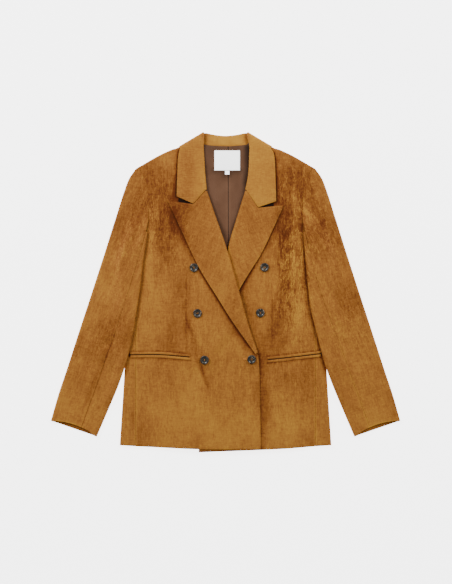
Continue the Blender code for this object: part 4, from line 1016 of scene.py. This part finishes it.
# ---- Pocket welts ---------------------------------------------------------------------------
# Each pocket is a slit with two narrow folded welts, set in across the front and the side panel
# and pressed nearly shut, with its outer end under the arm.
WELT = 0.0012  # thickness of a folded welt
WELT_HEIGHT = 0.0072
WELT_PROUD = 0.0006  # how far it stands out of the front
WELT_CROWN = 0.0006  # how much its middle stands above its edges
WELT_ROWS = 9
SLIT_STEPS = 48
MOUTH = 0.0009  # half the slit between the two welts
POCKETS = {
    "right": ((-0.0799, -0.1486), (-0.1500, -0.1432), (-0.2180, -0.1436)),
    "left": ((0.0953, -0.1548), (0.1500, -0.1490), (0.2180, -0.1409)),
}
for side, mirror in SIDES:
    slit = curve(POCKETS[side], SLIT_STEPS)
    # Painted shadow in the slit.
    paint_shade_along(fronts[side], slit[2:], 0.0035, 1.6)
    paint_shade_along(side_panels[side], slit, 0.0035, 1.6)
    for name, way in (("upper", 1.0), ("lower", -1.0)):
        welt_rows = []
        for share in np.linspace(0, 1, WELT_ROWS):
            reach = MOUTH + (WELT_HEIGHT - MOUTH) * share
            crown = WELT_CROWN * abs(sin(pi * share)) ** 0.7
            welt_rows.append([(x, y + way * reach, front_top(side, x, y + way * reach)
                               + WELT_PROUD + crown) for x, y in slit])
        welt = pile_piece(f"pocket_{side}_welt_{name}", [np.array(welt_rows)], WELT, turn=pi / 2,
                          shift=(0.2, 0.5 * way, 0.0), flip=(side == "right") == (way > 0),
                          relief=chest_relief, nap=0.02)
        # Painted shade along the welt's seam, on the welt and on the cloth beside it.
        seam = slit + np.array((0.0, way * (WELT_HEIGHT + SEAM)))
        paint_shade_along(welt, seam, 0.0011, 0.35)
        for piece in (fronts[side], side_panels[side]):
            paint_shade_along(piece, seam, 0.0020, 0.28)
        declare(welt)


# ---- Lapels ---------------------------------------------------------------------------------
# The facing of each front, turned out along the roll line and lying on the chest: a soft fold,
# and a leaf with a peaked corner below the notch. A short leg of it shows inside the opening.
LAPEL_TURNS = 6
LAPEL_COLUMNS = 6
LAPEL_ROWS = 15
LAPEL_FINER = (7, 6)
FACING_TURN = 0.014  # the leg of the facing that goes in under the fold
LEG_COLUMNS = 2
NOTCH = {"right": (-0.0735, 0.2010), "left": (0.0739, 0.1925)}


def leaf_breaks(turns, columns):
    """Where a turned leaf keeps a corner: at both ends of its fold and at the notch."""
    return LEG_COLUMNS, LEG_COLUMNS + turns, LEG_COLUMNS + turns + columns // 2


for side, mirror in SIDES:
    r = LAPEL_ROLL
    roll_tip = curve(points_of(ROLL_LINE[side]), LAPEL_ROWS)
    out = across_line(roll_tip, -mirror)
    axis = roll_tip + out * r
    lapel_edge = curve(points_of(LAPEL_EDGE[side]), LAPEL_ROWS)
    notch = np.array(NOTCH[side])
    gorge = joined(curve([axis[-1], notch], LAPEL_COLUMNS // 2),
                   curve([notch, lapel_edge[-1]], LAPEL_COLUMNS // 2))
    leaf = patch(curve([axis[0], lapel_edge[0]], LAPEL_COLUMNS), gorge, axis, lapel_edge)
    lapel_rows = []
    for k, centre in enumerate(axis):
        middle = front_top(side, *centre) - CLOTH / 2
        row = [(*(centre + out[k] * reach), 0.0) for reach in (FACING_TURN, FACING_TURN / 2)]
        for angle in half_turn(LAPEL_TURNS):
            x, y = centre - out[k] * r * cos(angle)
            row.append((x, y, middle + r * sin(angle)))
        row += [(x, y, middle + r) for x, y in leaf[k][1:]]
        lapel_rows.append(row)
    lapel_grid = finer(lapel_rows, *LAPEL_FINER,
                       column_breaks=leaf_breaks(LAPEL_TURNS, LAPEL_COLUMNS))
    x, y = lapel_grid[..., 0], lapel_grid[..., 1]
    leg = slice(0, LEG_COLUMNS * LAPEL_FINER[1] + 1)
    fall = slice((LEG_COLUMNS + LAPEL_TURNS) * LAPEL_FINER[1], None)
    lapel_grid[:, leg, 2] = front_top(side, x[:, leg], y[:, leg]) - CLOTH / 2 - r
    lapel_grid[:, fall, 2] = front_top(side, x[:, fall], y[:, fall]) - CLOTH / 2 + r
    lapel = pile_piece(f"lapel_{side}", [lapel_grid], LEAF, turn=-0.35 * mirror,
                       shift=(0.0, 0.0, 0.9 + 0.2 * mirror), flip=side == "right",
                       relief=chest_relief, nap=-0.01, crush=0.18)
    # Painted shade on the front beside the lapel's edge, painted shade on the lining beside its
    # roll, a painted highlight along the lapel's edge, painted shade at its roll and a painted
    # highlight just past it.
    for piece, line, reach, depth in (
            (fronts[side], lapel_edge[:-2], 0.0080, 0.20),
            (fronts[side], lapel_edge[:-1], 0.0025, 0.20),
            (fronts[side], lapel_edge[1:10], 0.0042, 0.40),
            (linings[side], axis[7:], 0.0110, 0.16 + 0.10 * mirror),
            (lapel, lapel_edge, 0.0016, -0.12),
            (lapel, roll_tip, 0.0012, 0.05),
            (lapel, roll_tip + 0.0035 * out, 0.0025, -0.04)):
        paint_shade_along(piece, line, reach, depth)
    declare(lapel)


# ---- Collar ---------------------------------------------------------------------------------
# Stand and fall cut in one. It is turned at the roll, its ends lie open on the chest above the
# notches, and at the shoulders it turns under, so at the nape only the stand shows.
COLLAR_MID = 0.0060  # the collar turns about this height at each shoulder
STAND_OFFSET = 0.0010  # from there to the face of the stand
FALL_OFFSET = 0.0060  # and to the face of the fall
LEAF_SPRING = 0.0008  # how much the free edge stands up
COLLAR_TURNS = 6
COLLAR_COLUMNS = 6
COLLAR_FINER = (6, 5)
CHEST_STATIONS = 5  # the stations that lie open on the chest
NOTCH_GAP = 0.0010
TURNED_UNDER = (0.0065, 0.0085)  # the collar lies still below this
COLLAR_STATIONS = {
    # name, turn in degrees, fold at the roll (x, y), neck seam (x, y), free edge (x, y)
    "right": (
        ("gorge",      0, (-0.0429, 0.2340), (-0.0472, 0.2364), (-0.1117, 0.2187)),
        ("collarbone", 0, (-0.0452, 0.2567), (-0.0558, 0.2601), (-0.1110, 0.2463)),
        ("throat",     0, (-0.0470, 0.2808), (-0.0624, 0.2843), (-0.1098, 0.2751)),
        ("neck",       0, (-0.0486, 0.3084), (-0.0657, 0.3119), (-0.1087, 0.3027)),
        ("neck_top",   0, (-0.0498, 0.3337), (-0.0650, 0.3337), (-0.1064, 0.3199)),
    ),
    "left": (
        ("gorge",      0, (0.0449, 0.2340), (0.0492, 0.2364), (0.1156, 0.2075)),
        ("collarbone", 0, (0.0498, 0.2567), (0.0604, 0.2601), (0.1146, 0.2417)),
        ("throat",     0, (0.0526, 0.2808), (0.0666, 0.2843), (0.1137, 0.2705)),
        ("neck",       0, (0.0537, 0.3084), (0.0670, 0.3119), (0.1124, 0.2992)),
        ("neck_top",   0, (0.0544, 0.3337), (0.0655, 0.3337), (0.1098, 0.3176)),
    ),
}
SHOULDER_TURN = (0, 30, 60, 90, 120, 150, 180)
TIP_RISE = 0.0018  # how far up the body its fold moves as it turns
TIP_PRESS = 0.0023  # how much thinner it is half way round


def collar_stations(side):
    """The collar's sections on one side: turn, fold, neck seam and free edge."""
    mirror = dict(SIDES)[side]
    rows = [(turn, roll, neck, free) for _, turn, roll, neck, free in COLLAR_STATIONS[side]]
    corner = [(mirror * x, y) for x, y in SHOULDER_STATION]
    for turn in SHOULDER_TURN:
        raised_roll = (corner[0][0], corner[0][1] + TIP_RISE * turn / 180)
        rows.append((turn, raised_roll, *corner[1:]))
    for _, roll, neck, free in BACK_STATIONS:
        rows.append((180, *[(mirror * x, y) for x, y in (roll, neck, free)]))
    return [(turn, np.array(r), np.array(n), np.array(f)) for turn, r, n, f in rows]


def collar_row(turn, roll, neck, free, mirror, notch=None):
    """One section across the collar: stand, fold at the roll, fall."""
    leg = (free - roll) / np.linalg.norm(free - roll)
    side_way = np.array((-leg[1], leg[0])) * mirror
    tilt = turn * pi / 180
    fall = FALL_OFFSET - TIP_PRESS * sin(tilt) ** 2
    r = (fall - STAND_OFFSET) / 2
    face = np.array((*(side_way * sin(tilt)), cos(tilt)))
    leg3 = np.array((*leg, 0.0))
    axis = np.array((*(roll + leg * r), COLLAR_MID))
    centre = axis + face * (STAND_OFFSET + r)
    foot = np.array((*neck, COLLAR_MID)) + face * STAND_OFFSET
    row = [foot, (foot + axis + face * STAND_OFFSET) / 2]
    for angle in half_turn(COLLAR_TURNS):
        row.append(centre + (face * sin(angle) - leg3 * cos(angle)) * r)
    spring = LEAF_SPRING * max(cos(tilt), 0)
    for k in range(1, COLLAR_COLUMNS + 1):
        share = k / COLLAR_COLUMNS
        plan = axis[:2] + (free - axis[:2]) * share
        if notch is not None:
            half = COLLAR_COLUMNS // 2
            plan = (axis[:2] + (notch - axis[:2]) * k / half if k <= half
                    else notch + (free - notch) * (k - half) / half)
        row.append(np.array((*plan, COLLAR_MID)) + face * (fall + spring * share))
    return row


collar_rows = []
for side, mirror in SIDES:
    half = []
    for k, (turn, roll, neck, free) in enumerate(collar_stations(side)):
        notch = np.array(NOTCH[side]) + (mirror * SEAM, NOTCH_GAP) if k == 0 else None
        half.append(collar_row(turn, roll, neck, free, mirror, notch))
    collar_rows += half if side == "right" else half[::-1]
    if side == "right":
        collar_rows.append(collar_row(180, *[np.array(p) for p in BACK_MIDDLE], mirror))
    # Painted shade on the front beside the collar's free edge, and a painted shadow that fills the
    # open notch.
    free_edge = [free for _, _, _, free in collar_stations(side)[:CHEST_STATIONS]]
    paint_shade_along(fronts[side], free_edge, 0.0060, 0.35)
    paint_shade_along(fronts[side], free_edge, 0.0022, 0.34)
    notch, peak = np.array(NOTCH[side]), np.array(LAPEL_EDGE[side][-1][1:])
    opening = (free_edge[0] + notch + 0.66 * (peak - notch)) / 2 - notch
    paint_shade_along(fronts[side], [notch, notch + 0.80 * opening], 0.0048, 1.45)


def collar_relief(places):
    """The leaves share the lie of the chest below them; the part turned under stays put."""
    return chest_relief(places) * ramp(places[:, 2], *TURNED_UNDER)


collar_grid = finer(collar_rows, *COLLAR_FINER,
                    column_breaks=leaf_breaks(COLLAR_TURNS, COLLAR_COLUMNS))
collar = pile_piece("collar", [collar_grid], LEAF, turn=pi / 2, shift=(0.4, 0.1, 0.0), flip=True,
                    relief=collar_relief, nap=0.20, crush=0.06)
declare(collar)


# ---- Sleeves --------------------------------------------------------------------------------
# Two piece sleeves, set into the armholes and pressed flat with the body. The upper arm lies on
# the body's side, the rest on the floor. The top sleeve is turned over the outer fold, and the
# seam to the under sleeve runs down the upper side near the inner fold.
SLEEVE_THICK = 0.0074  # a sleeve pressed flat
SLEEVE_TRIM = 0.0002  # half the gap at its two seams
UNDER_ARM_EDGE = SIDE_FOLD + (("hind_pitch", 0.2020, 0.1445), ("pitch_low", 0.1905, 0.1656),
                              ("pitch", 0.1500, 0.2000))
CROWN_THICK = 0.0048  # the sleeve at its crown
CROWN_EASE = 0.0022  # how far the top sleeve laps the armhole there
SLEEVE_FINER = (7, 6)
SLEEVE_TURN = -0.31  # how the grain of a sleeve lies
ARM_EDGE = (0.006, 0.036)  # how far past the body's side the arm comes down to the floor
ARM_DROP = (0.108, 0.200)  # y at which its upper side comes down over the armhole
CAP_STILL = (0.20, 0.26)  # y at which its folds end
UPPER_WALL = (0.45, 0.95)  # shares of its thickness between which the upper wall starts
CUFF_EDGE = 0.05  # a row close to the edge, at this share of a step
SEAM_START = 9.4  # row of the table where the sleeve seam is first seen
FLANK_STOPS = (3.3, 4, 5, 5.75)  # rows that the under side has above the underarm
INNER_STEPS = 60
BESIDE_SLEEVE = 0.0015  # the shadow beside the sleeve
CUFF_BOW = 0.0094  # how far the cuff's upper edge is drawn back
TOP_COLUMNS = 8
WEDGE_COLUMNS = 2
UNDER_COLUMNS = 4
LOW_ARMHOLE = ((0.1864, 0.1244), (0.2048, 0.0968), (0.2150, 0.0870))
SLEEVE_FOLDS = (
    # name, start (x, y), end (x, y), half width, height
    ("right_armpit",     -0.2150, 0.0850, -0.1850, 0.1250, 0.0050, 0.0018),
    ("right_armpit_dip", -0.2280, 0.0900, -0.1950, 0.1400, 0.0050, -0.0014),
    ("right_arm_fall",   -0.2150, 0.1900, -0.2500, 0.0400, 0.0090, 0.0013),
    ("right_arm_dip",    -0.2320, 0.1500, -0.2720, -0.0200, 0.0080, -0.0012),
    ("right_elbow",      -0.2300, -0.0800, -0.2850, -0.1050, 0.0060, 0.0014),
    ("right_elbow_two",  -0.2350, -0.1050, -0.2950, -0.1300, 0.0055, -0.0012),
    ("right_elbow_low",  -0.2500, -0.1350, -0.3050, -0.1500, 0.0060, 0.0012),
    ("right_forearm",    -0.3000, -0.1500, -0.3350, -0.2700, 0.0100, 0.0011),
    ("left_armpit",      0.2200, 0.0800, 0.1850, 0.1300, 0.0050, 0.0016),
    ("left_arm_vein",    0.2150, 0.2300, 0.2350, 0.1100, 0.0050, 0.0013),
    ("left_arm_dip",     0.2050, 0.1700, 0.2200, 0.0600, 0.0060, -0.0011),
    ("left_vein_low",    0.2350, 0.1100, 0.2700, -0.0100, 0.0060, 0.0013),
    ("left_elbow",       0.2350, -0.0600, 0.3000, -0.0800, 0.0060, 0.0012),
    ("left_elbow_low",   0.2400, -0.1000, 0.2950, -0.1300, 0.0060, -0.0012),
    ("left_forearm",     0.2700, -0.1400, 0.3200, -0.2600, 0.0100, 0.0012),
    ("left_outer",       0.3200, -0.1000, 0.3600, -0.2200, 0.0090, -0.0011),
)
SLEEVE_WAVES = (
    # as for the chest; the last one is crossed by nothing
    (0.0006, (48, 30, 0.0), (-20, 36, 0.8)),
    (0.0003, (40, 95, 1.1), (0, 0, pi / 2)),
)


def arm_on_body(x, y):
    """1 where the arm lies on the body's side, 0 where it has come down to the floor."""
    return 1 - ramp(abs(x) - x_at(UNDER_ARM_EDGE, y), *ARM_EDGE)


def sleeve_bottom(x, y):
    """How high the under side of a sleeve lies."""
    return (SIDE_TOP + LAY) * arm_on_body(x, y)


def sleeve_top(x, y):
    """How high the upper side of a sleeve lies; it comes down again over the armhole."""
    return SLEEVE_THICK + (SIDE_TOP + LAY) * arm_on_body(x, y) * (1 - ramp(y, *ARM_DROP))


def sleeve_relief(places):
    """The upper wall of a sleeve folds softly, and the under wall stays pressed down."""
    x, y, z = places.T
    low = sleeve_bottom(x, y)
    upper = ramp(z, UPPER_WALL[0] * SLEEVE_THICK + low,
                 UPPER_WALL[1] * SLEEVE_THICK + low * (1 - ramp(y, *ARM_DROP)))
    lie = folds_at(SLEEVE_FOLDS, x, y) + crossing_waves(SLEEVE_WAVES, x, y)
    return upper * lie * (1 - ramp(y, *CAP_STILL))


class Section:
    """One section across a sleeve: where its folds turn and how thick it lies."""

    def __init__(self, row, thick=None):
        self.row = row
        self.width = float(np.linalg.norm(row[0:2] - row[2:4]))
        self.across = (row[2:4] - row[0:2]) / self.width
        self.back, self.fore, self.hind = row[4:7]
        self.thick = thick

    def levels(self, x, y):
        """How high the two walls lie at a place."""
        top, bottom = sleeve_top(x, y), sleeve_bottom(x, y)
        if self.thick:
            middle = (top + bottom) / 2
            top, bottom = middle + self.thick / 2, middle - self.thick / 2
        return top, bottom

    def fold(self, inner):
        """The fold at one end: its share, and its points from the top down."""
        r = SLEEVE_THICK / 2
        for _ in range(3):
            share = r / self.width if inner else 1 - r / self.width
            top, bottom = self.levels(*on_section(self.row, share))
            r = (top - bottom) / 2
        away = self.across if inner else -self.across
        x, y = on_section(self.row, share)
        return share, [(x + away[0] * r * cos(angle), y + away[1] * r * cos(angle),
                        (top + bottom) / 2 - r * sin(angle)) for angle in half_turn(FOLD_TURNS)]

    def upper(self, share):
        """A point of the upper wall."""
        x, y = on_section(self.row, share)
        return (x, y, self.levels(x, y)[0])

    def lower(self, share, lifted=1.0):
        """A point of the under wall: at its level, or on the floor when lifted is 0."""
        x, y = on_section(self.row, share)
        return (x, y, self.levels(x, y)[1] * lifted)


def section_at(rows, k):
    """A row of a sleeve's table, or the place between two of them."""
    i = min(int(k), len(rows) - 2)
    return rows[i] + (rows[i + 1] - rows[i]) * (k - i)


def bow_cuff(rows, section, columns):
    """Draws the top of the cuff back up the arm, most in the middle."""
    for j in columns:
        end, before = np.array(rows[-1][j]), np.array(rows[-2][j])
        share = np.linalg.norm(end[:2] - section.row[2:4]) / section.width
        way = (before - end) / np.linalg.norm(before - end)
        rows[-1][j] = tuple(end + way * CUFF_BOW * sin(pi * min(max(share, 0), 1)) ** 0.8)
    rows.insert(-1, [tuple(np.array(a) * CUFF_EDGE + np.array(b) * (1 - CUFF_EDGE))
                     for a, b in zip(rows[-2], rows[-1])])


def inner_turn(section, part):
    """The under sleeve's inner fold and the strip of it that shows on top."""
    inner_share, turned = section.fold(True)
    end = max(section.fore - part, inner_share + 0.01)
    strip = [section.upper(inner_share + (end - inner_share) * j / WEDGE_COLUMNS)
             for j in range(WEDGE_COLUMNS, 0, -1)]
    return inner_share, strip + turned


for side, mirror in SIDES:
    table = sections(side)
    cut = [Section(row, CROWN_THICK if k == 0 else None) for k, row in enumerate(table)]
    top_rows = []
    for k, section in enumerate(cut):
        part = (SLEEVE_TRIM - CROWN_EASE * max(0.0, 1 - k / 3)) / section.width
        outer_share, outer_fold = section.fold(False)
        start = section.fore + part
        row = [section.upper(start + (outer_share - start) * j / TOP_COLUMNS)
               for j in range(TOP_COLUMNS)]
        row += outer_fold
        end = section.hind - abs(part)
        lifted = 1.0 if k == 0 or k >= UNDERARM else 0.0
        row += [section.lower(outer_share + (end - outer_share) * t, lifted) for t in (0.5, 1.0)]
        top_rows.append(row)
    bow_cuff(top_rows, cut[-1], range(TOP_COLUMNS))
    finish = {"turn": SLEEVE_TURN * mirror, "shift": (0.0, 0.0, 1.4 + 0.3 * mirror),
              "relief": sleeve_relief, "nap": -0.03}
    top_sleeve = pile_piece(f"top_sleeve_{side}", [finer(top_rows, *SLEEVE_FINER)],
                            flip=side == "left", **finish)
    declare(top_sleeve)

    seam_line = [on_section(row, row[5])
                 for row in [section_at(table, SEAM_START), *table[int(SEAM_START) + 1:]]]
    cuff = [table[-1][0:2], table[-1][2:4]]
    inner_fold = curve([row[2:4] - (mirror * BESIDE_SLEEVE, 0.0) for row in table[1:]],
                       INNER_STEPS)
    # Painted shadow on the body beside the sleeve's inner fold.
    for piece in (fronts[side], side_panels[side]):
        for start, reach, depth in ((3, 0.0050, 0.09 + 0.03 * mirror),
                                    (18, 0.0070, 0.08 + 0.04 * mirror),
                                    (14, 0.0020, 0.11 + 0.09 * mirror)):
            paint_shade_along(piece, inner_fold[start:], reach, depth)

    under_rows = []
    for section in cut[UNDERARM:]:
        part = SLEEVE_TRIM / section.width
        inner_share, row = inner_turn(section, part)
        for start, end in ((inner_share, section.back), (section.back, section.hind - part)):
            row += [section.lower(start + (end - start) * j / UNDER_COLUMNS)
                    for j in range(1, UNDER_COLUMNS + 1)]
        under_rows.append(row)
    bow_cuff(under_rows, cut[-1], range(WEDGE_COLUMNS))
    _, gusset = inner_turn(cut[UNDERARM - 1], SLEEVE_TRIM / cut[UNDERARM - 1].width)
    gusset += [(mirror * x, y, sleeve_bottom(mirror * x, y)) for x, y in LOW_ARMHOLE]
    gusset.append(under_rows[0][len(gusset)])
    flank = []
    for k in FLANK_STOPS:
        section = Section(section_at(table, k))
        part = SLEEVE_TRIM / section.width
        start, end = section.back + part, section.hind - part
        flank.append([section.lower(start + (end - start) * j / UNDER_COLUMNS, 0.0)
                      for j in range(UNDER_COLUMNS + 1)])
    flank.append(under_rows[0][-UNDER_COLUMNS - 1:])
    last = len(gusset) - 1
    first_flank = len(under_rows[0]) - UNDER_COLUMNS - 1
    under_grids = [finer(under_rows, *SLEEVE_FINER, column_breaks=(last, first_flank)),
                   finer([gusset, under_rows[0][:last + 1]], *SLEEVE_FINER),
                   finer(flank, *SLEEVE_FINER)]
    under_sleeve = pile_piece(f"under_sleeve_{side}", under_grids, flip=side == "right", **finish)
    # Painted shade along the sleeve seam on the right sleeve and a painted highlight on the left
    # one, painted shade inside the cuff, and a painted highlight along the cuff's upper rim.
    for piece in (top_sleeve, under_sleeve):
        paint_shade_along(piece, seam_line, 0.0014, 0.02 - 0.12 * mirror)
        paint_shade_along(piece, cuff, 0.0120, 0.14, 0.6 * SLEEVE_THICK)
        paint_shade_along(piece, top_rows[-1][:TOP_COLUMNS], 0.0028, -0.28)
    declare(under_sleeve)


# ---- Buttons --------------------------------------------------------------------------------
# Six marbled horn buttons, turned with a dished middle and a raised rim, with four holes through
# which each is sewn on with tan thread.
BUTTONS = (
    ("button_right_top",    "right", -0.0719, 0.0557),
    ("button_right_middle", "right", -0.0638, -0.0485),
    ("button_right_low",    "right", -0.0477, -0.1546),
    ("button_left_top",     "left", 0.0891, 0.0566),
    ("button_left_middle",  "left", 0.0795, -0.0474),
    ("button_edge_low",     "right", 0.0595, -0.1534),
)
BUTTON_PROFILE = (
    # radius, height
    (0.0000, 0.0022), (0.0040, 0.0022), (0.0056, 0.0023), (0.0066, 0.0029), (0.0073, 0.0034),
    (0.0081, 0.0036), (0.0089, 0.0035), (0.0095, 0.0031), (0.0099, 0.0025), (0.0099, 0.0016),
    (0.0094, 0.0009), (0.0078, 0.0003), (0.0000, 0.0000),
)
BUTTON_SEAT = 0.0085  # radius at which a button rests on the cloth
HOLE_REACH = 0.0017  # from the middle of a button to a hole
HOLE_ACROSS = HOLE_REACH * 0.7071
THREAD_STRANDS = (-0.0003, 0.0, 0.0003)
THREAD_STEPS = 8
THREAD_FOOT = 0.0006  # where the thread enters a hole
THREAD_RISE = 0.0021  # and how much higher it crosses the button
THREAD_RADIUS = 0.00024
HOLE_RADIUS = 0.0009
HOLES = 4
BUTTON_SIDES = 48
BUTTON_GAP = 0.0002
SEAT_POINTS = 24

horn, horn_tree, horn_shader = plain_material("marbled_horn")
horn_place = place_in(horn_tree)
horn_colour = clouded(horn_tree, horn_place, (
    (0.00, (0.010, 0.010, 0.008, 1.0)), (0.42, (0.010, 0.009, 0.007, 1.0)),
    (0.54, (0.027, 0.024, 0.018, 1.0)), (0.61, (0.090, 0.070, 0.044, 1.0)),
    (0.68, (0.300, 0.205, 0.115, 1.0)), (1.00, (0.340, 0.240, 0.140, 1.0))),
    Scale=130.0, Detail=4.0, Distortion=2.2)
feed(horn_tree, horn_shader, {"Base Color": horn_colour, "Roughness": 0.36,
                              "Coat Weight": 0.12, "Coat Roughness": 0.12})

thread, thread_tree, thread_shader = plain_material("tan_thread")
thread_place = place_in(thread_tree)
thread_colour = clouded(thread_tree, thread_place, ((0.0, (0.440, 0.150, 0.026, 1.0)),
                                                    (1.0, (0.640, 0.270, 0.055, 1.0))),
                        Scale=1500.0)
feed(thread_tree, thread_shader, {"Base Color": thread_colour, "Roughness": 0.7,
                                  "Specular IOR Level": 0.1})

button_bm = bmesh.new()
centre_vert = button_bm.verts.new((0, 0, BUTTON_PROFILE[0][1]))
turn = 2 * pi / BUTTON_SIDES
rings = [[button_bm.verts.new((r * cos(turn * k), r * sin(turn * k), z))
          for k in range(BUTTON_SIDES)] for r, z in BUTTON_PROFILE[1:-1]]
for k in range(BUTTON_SIDES):
    beside = (k + 1) % BUTTON_SIDES
    button_bm.faces.new((centre_vert, rings[0][k], rings[0][beside]))
    for inner_ring, outer_ring in zip(rings, rings[1:]):
        button_bm.faces.new((inner_ring[k], outer_ring[k], outer_ring[beside], inner_ring[beside]))
button_bm.faces.new(rings[-1][::-1])
blank = placed("turned_button", mesh_of(button_bm, "turned_button"))
drill_bm = bmesh.new()
for k in range(HOLES):
    angle = pi / 4 + 2 * pi * k / HOLES
    made = bmesh.ops.create_cone(drill_bm, segments=16, radius1=HOLE_RADIUS, radius2=HOLE_RADIUS,
                                 depth=0.008, cap_ends=True)
    bmesh.ops.translate(drill_bm, verts=made["verts"],
                        vec=(HOLE_REACH * cos(angle), HOLE_REACH * sin(angle), 0.0015))
drill = placed("drill", mesh_of(drill_bm, "drill"))
drilled = blank.modifiers.new("holes", "BOOLEAN")
drilled.operation = "DIFFERENCE"
drilled.object = drill
drilled.solver = "EXACT"
button_mesh = evaluated_mesh(blank, "turned_button")
bpy.data.objects.remove(drill, do_unlink=True)
button_mesh.materials.clear()
button_mesh.materials.append(horn)
button_mesh.shade_smooth()
button_mesh.set_sharp_from_angle(angle=0.7)


def button_thread_tree():
    """Strands of thread laid through a list of short runs, each a round tube."""
    tree = bpy.data.node_groups.new("thread_strands", "GeometryNodeTree")
    for label, way, kind in (("Runs", "INPUT", "Geometry"), ("Radius", "INPUT", "Float"),
                             ("Strands", "OUTPUT", "Geometry")):
        tree.interface.new_socket(name=label, in_out=way, socket_type=f"NodeSocket{kind}")
    start = node(tree, "NodeGroupInput")
    end = node(tree, "NodeGroupOutput")
    runs = node(tree, "GeometryNodeMeshToCurve", {"Mesh": start.outputs["Runs"]})
    profile = node(tree, "GeometryNodeCurvePrimitiveCircle",
                   {"Resolution": 8, "Radius": start.outputs["Radius"]})
    tube = node(tree, "GeometryNodeCurveToMesh",
                {"Curve": runs.outputs[0], "Profile Curve": profile.outputs[0], "Fill Caps": True})
    real = node(tree, "GeometryNodeRealizeInstances", {"Geometry": tube.outputs[0]})
    finished = node(tree, "GeometryNodeSetMaterial",
                    {"Geometry": real.outputs[0], "Material": thread})
    tree.links.new(finished.outputs[0], end.inputs["Strands"])
    return tree


thread_strands = button_thread_tree()


def lay_thread(name, runs, radius):
    """Thread along each run of points, as one mesh."""
    mesh = bpy.data.meshes.new(name)
    points = [p for run in runs for p in run]
    edges, base = [], 0
    for run in runs:
        edges += [(base + k, base + k + 1) for k in range(len(run) - 1)]
        base += len(run)
    mesh.from_pydata([tuple(p) for p in points], edges, [])
    made = placed(name, mesh)
    strands = made.modifiers.new("strands", "NODES")
    strands.node_group = thread_strands
    identifier = next(item.identifier for item in thread_strands.interface.items_tree
                      if item.name == "Radius")
    strands[identifier] = radius
    evaluated_mesh(made, name).shade_smooth()
    return made


def level_on(faces, x, y):
    """How high a surface lies under a place."""
    return faces.ray_cast(Vector((x, y, 1.0)), Vector((0.0, 0.0, -1.0)))[0].z


def seat_of(faces, x, y):
    """Where a button sits square on a front: its place and its lean."""
    rim = [(BUTTON_SEAT * cos(a), BUTTON_SEAT * sin(a))
           for a in half_turn(SEAT_POINTS, 0.0, 2 * pi)[1:]]
    heights = [level_on(faces, x + dx, y + dy) for dx, dy in rim]
    across = 2 * np.mean([h * dx for h, (dx, dy) in zip(heights, rim)]) / BUTTON_SEAT ** 2
    along = 2 * np.mean([h * dy for h, (dx, dy) in zip(heights, rim)]) / BUTTON_SEAT ** 2
    level = max([level_on(faces, x, y)] + [h - across * dx - along * dy
                                           for h, (dx, dy) in zip(heights, rim)])
    return Vector((x, y, level + BUTTON_GAP)), Euler((along, -across, 0.0))


thread_runs = []
for number, (name, side, x, y) in enumerate(BUTTONS):
    place, lean = seat_of(front_faces[side], x, y)
    turned = lean.to_matrix() @ Euler((0, 0, 0.5 + 1.3 * number)).to_matrix()
    mesh = button_mesh.copy()
    mesh.transform(turned.to_4x4())
    mesh.transform(Matrix.Translation(place))
    mesh.name = f"{name}_horn"
    button = placed(f"{name}_horn", mesh)
    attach(button, "root")
    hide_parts(name)
    for across in (-1, 1):
        for strand in THREAD_STRANDS:
            run = []
            for step in range(THREAD_STEPS + 1):
                t = step / THREAD_STEPS
                local = Vector((HOLE_ACROSS * (2 * t - 1), across * HOLE_ACROSS + strand,
                                THREAD_FOOT + THREAD_RISE * min(1.0, 3.2 * sin(pi * t))))
                run.append(place + turned @ local)
            thread_runs.append(run)
bpy.data.objects.remove(blank, do_unlink=True)
button_threads = lay_thread("button_threads", thread_runs, THREAD_RADIUS)
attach(button_threads, "root")


# ---- Buttonhole -----------------------------------------------------------------------------
# The right front's working buttonhole at the opening edge: a slit with closely worked stitches
# round it, mostly hidden by its button.
HOLE_START, HOLE_END, HOLE_Y = 0.0425, 0.0560, -0.1526
STITCH_PAIRS = 15  # along the slit
STITCH_FAN = 7  # round its inner end
STITCH_STEPS = 4
STITCH_START, STITCH_LENGTH, FAN_LENGTH = 0.0002, 0.0025, 0.0022
STITCH_LIFT, STITCH_ARCH = 0.0001, 0.0003
STITCH_RADIUS = 0.00052


def stitch(x, angle, length):
    """One stitch outwards from the slit, over the edge of the cloth."""
    run = []
    for step in range(STITCH_STEPS + 1):
        t = step / STITCH_STEPS
        reach = STITCH_START + length * t
        hx, hy = x + reach * cos(angle), HOLE_Y + reach * sin(angle)
        level = level_on(front_faces["right"], hx, hy) + STITCH_LIFT
        run.append(Vector((hx, hy, level + STITCH_ARCH * sin(pi * t))))
    return run


slit_stops = np.linspace(HOLE_START, HOLE_END, STITCH_PAIRS)
hole_runs = [stitch(x, way * pi / 2, STITCH_LENGTH) for x in slit_stops for way in (-1, 1)]
hole_runs += [stitch(HOLE_START, angle, FAN_LENGTH)
              for angle in half_turn(STITCH_FAN - 1, pi / 2, 3 * pi / 2)]
buttonhole = lay_thread("buttonhole_stitches", hole_runs, STITCH_RADIUS)
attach(buttonhole, "root")
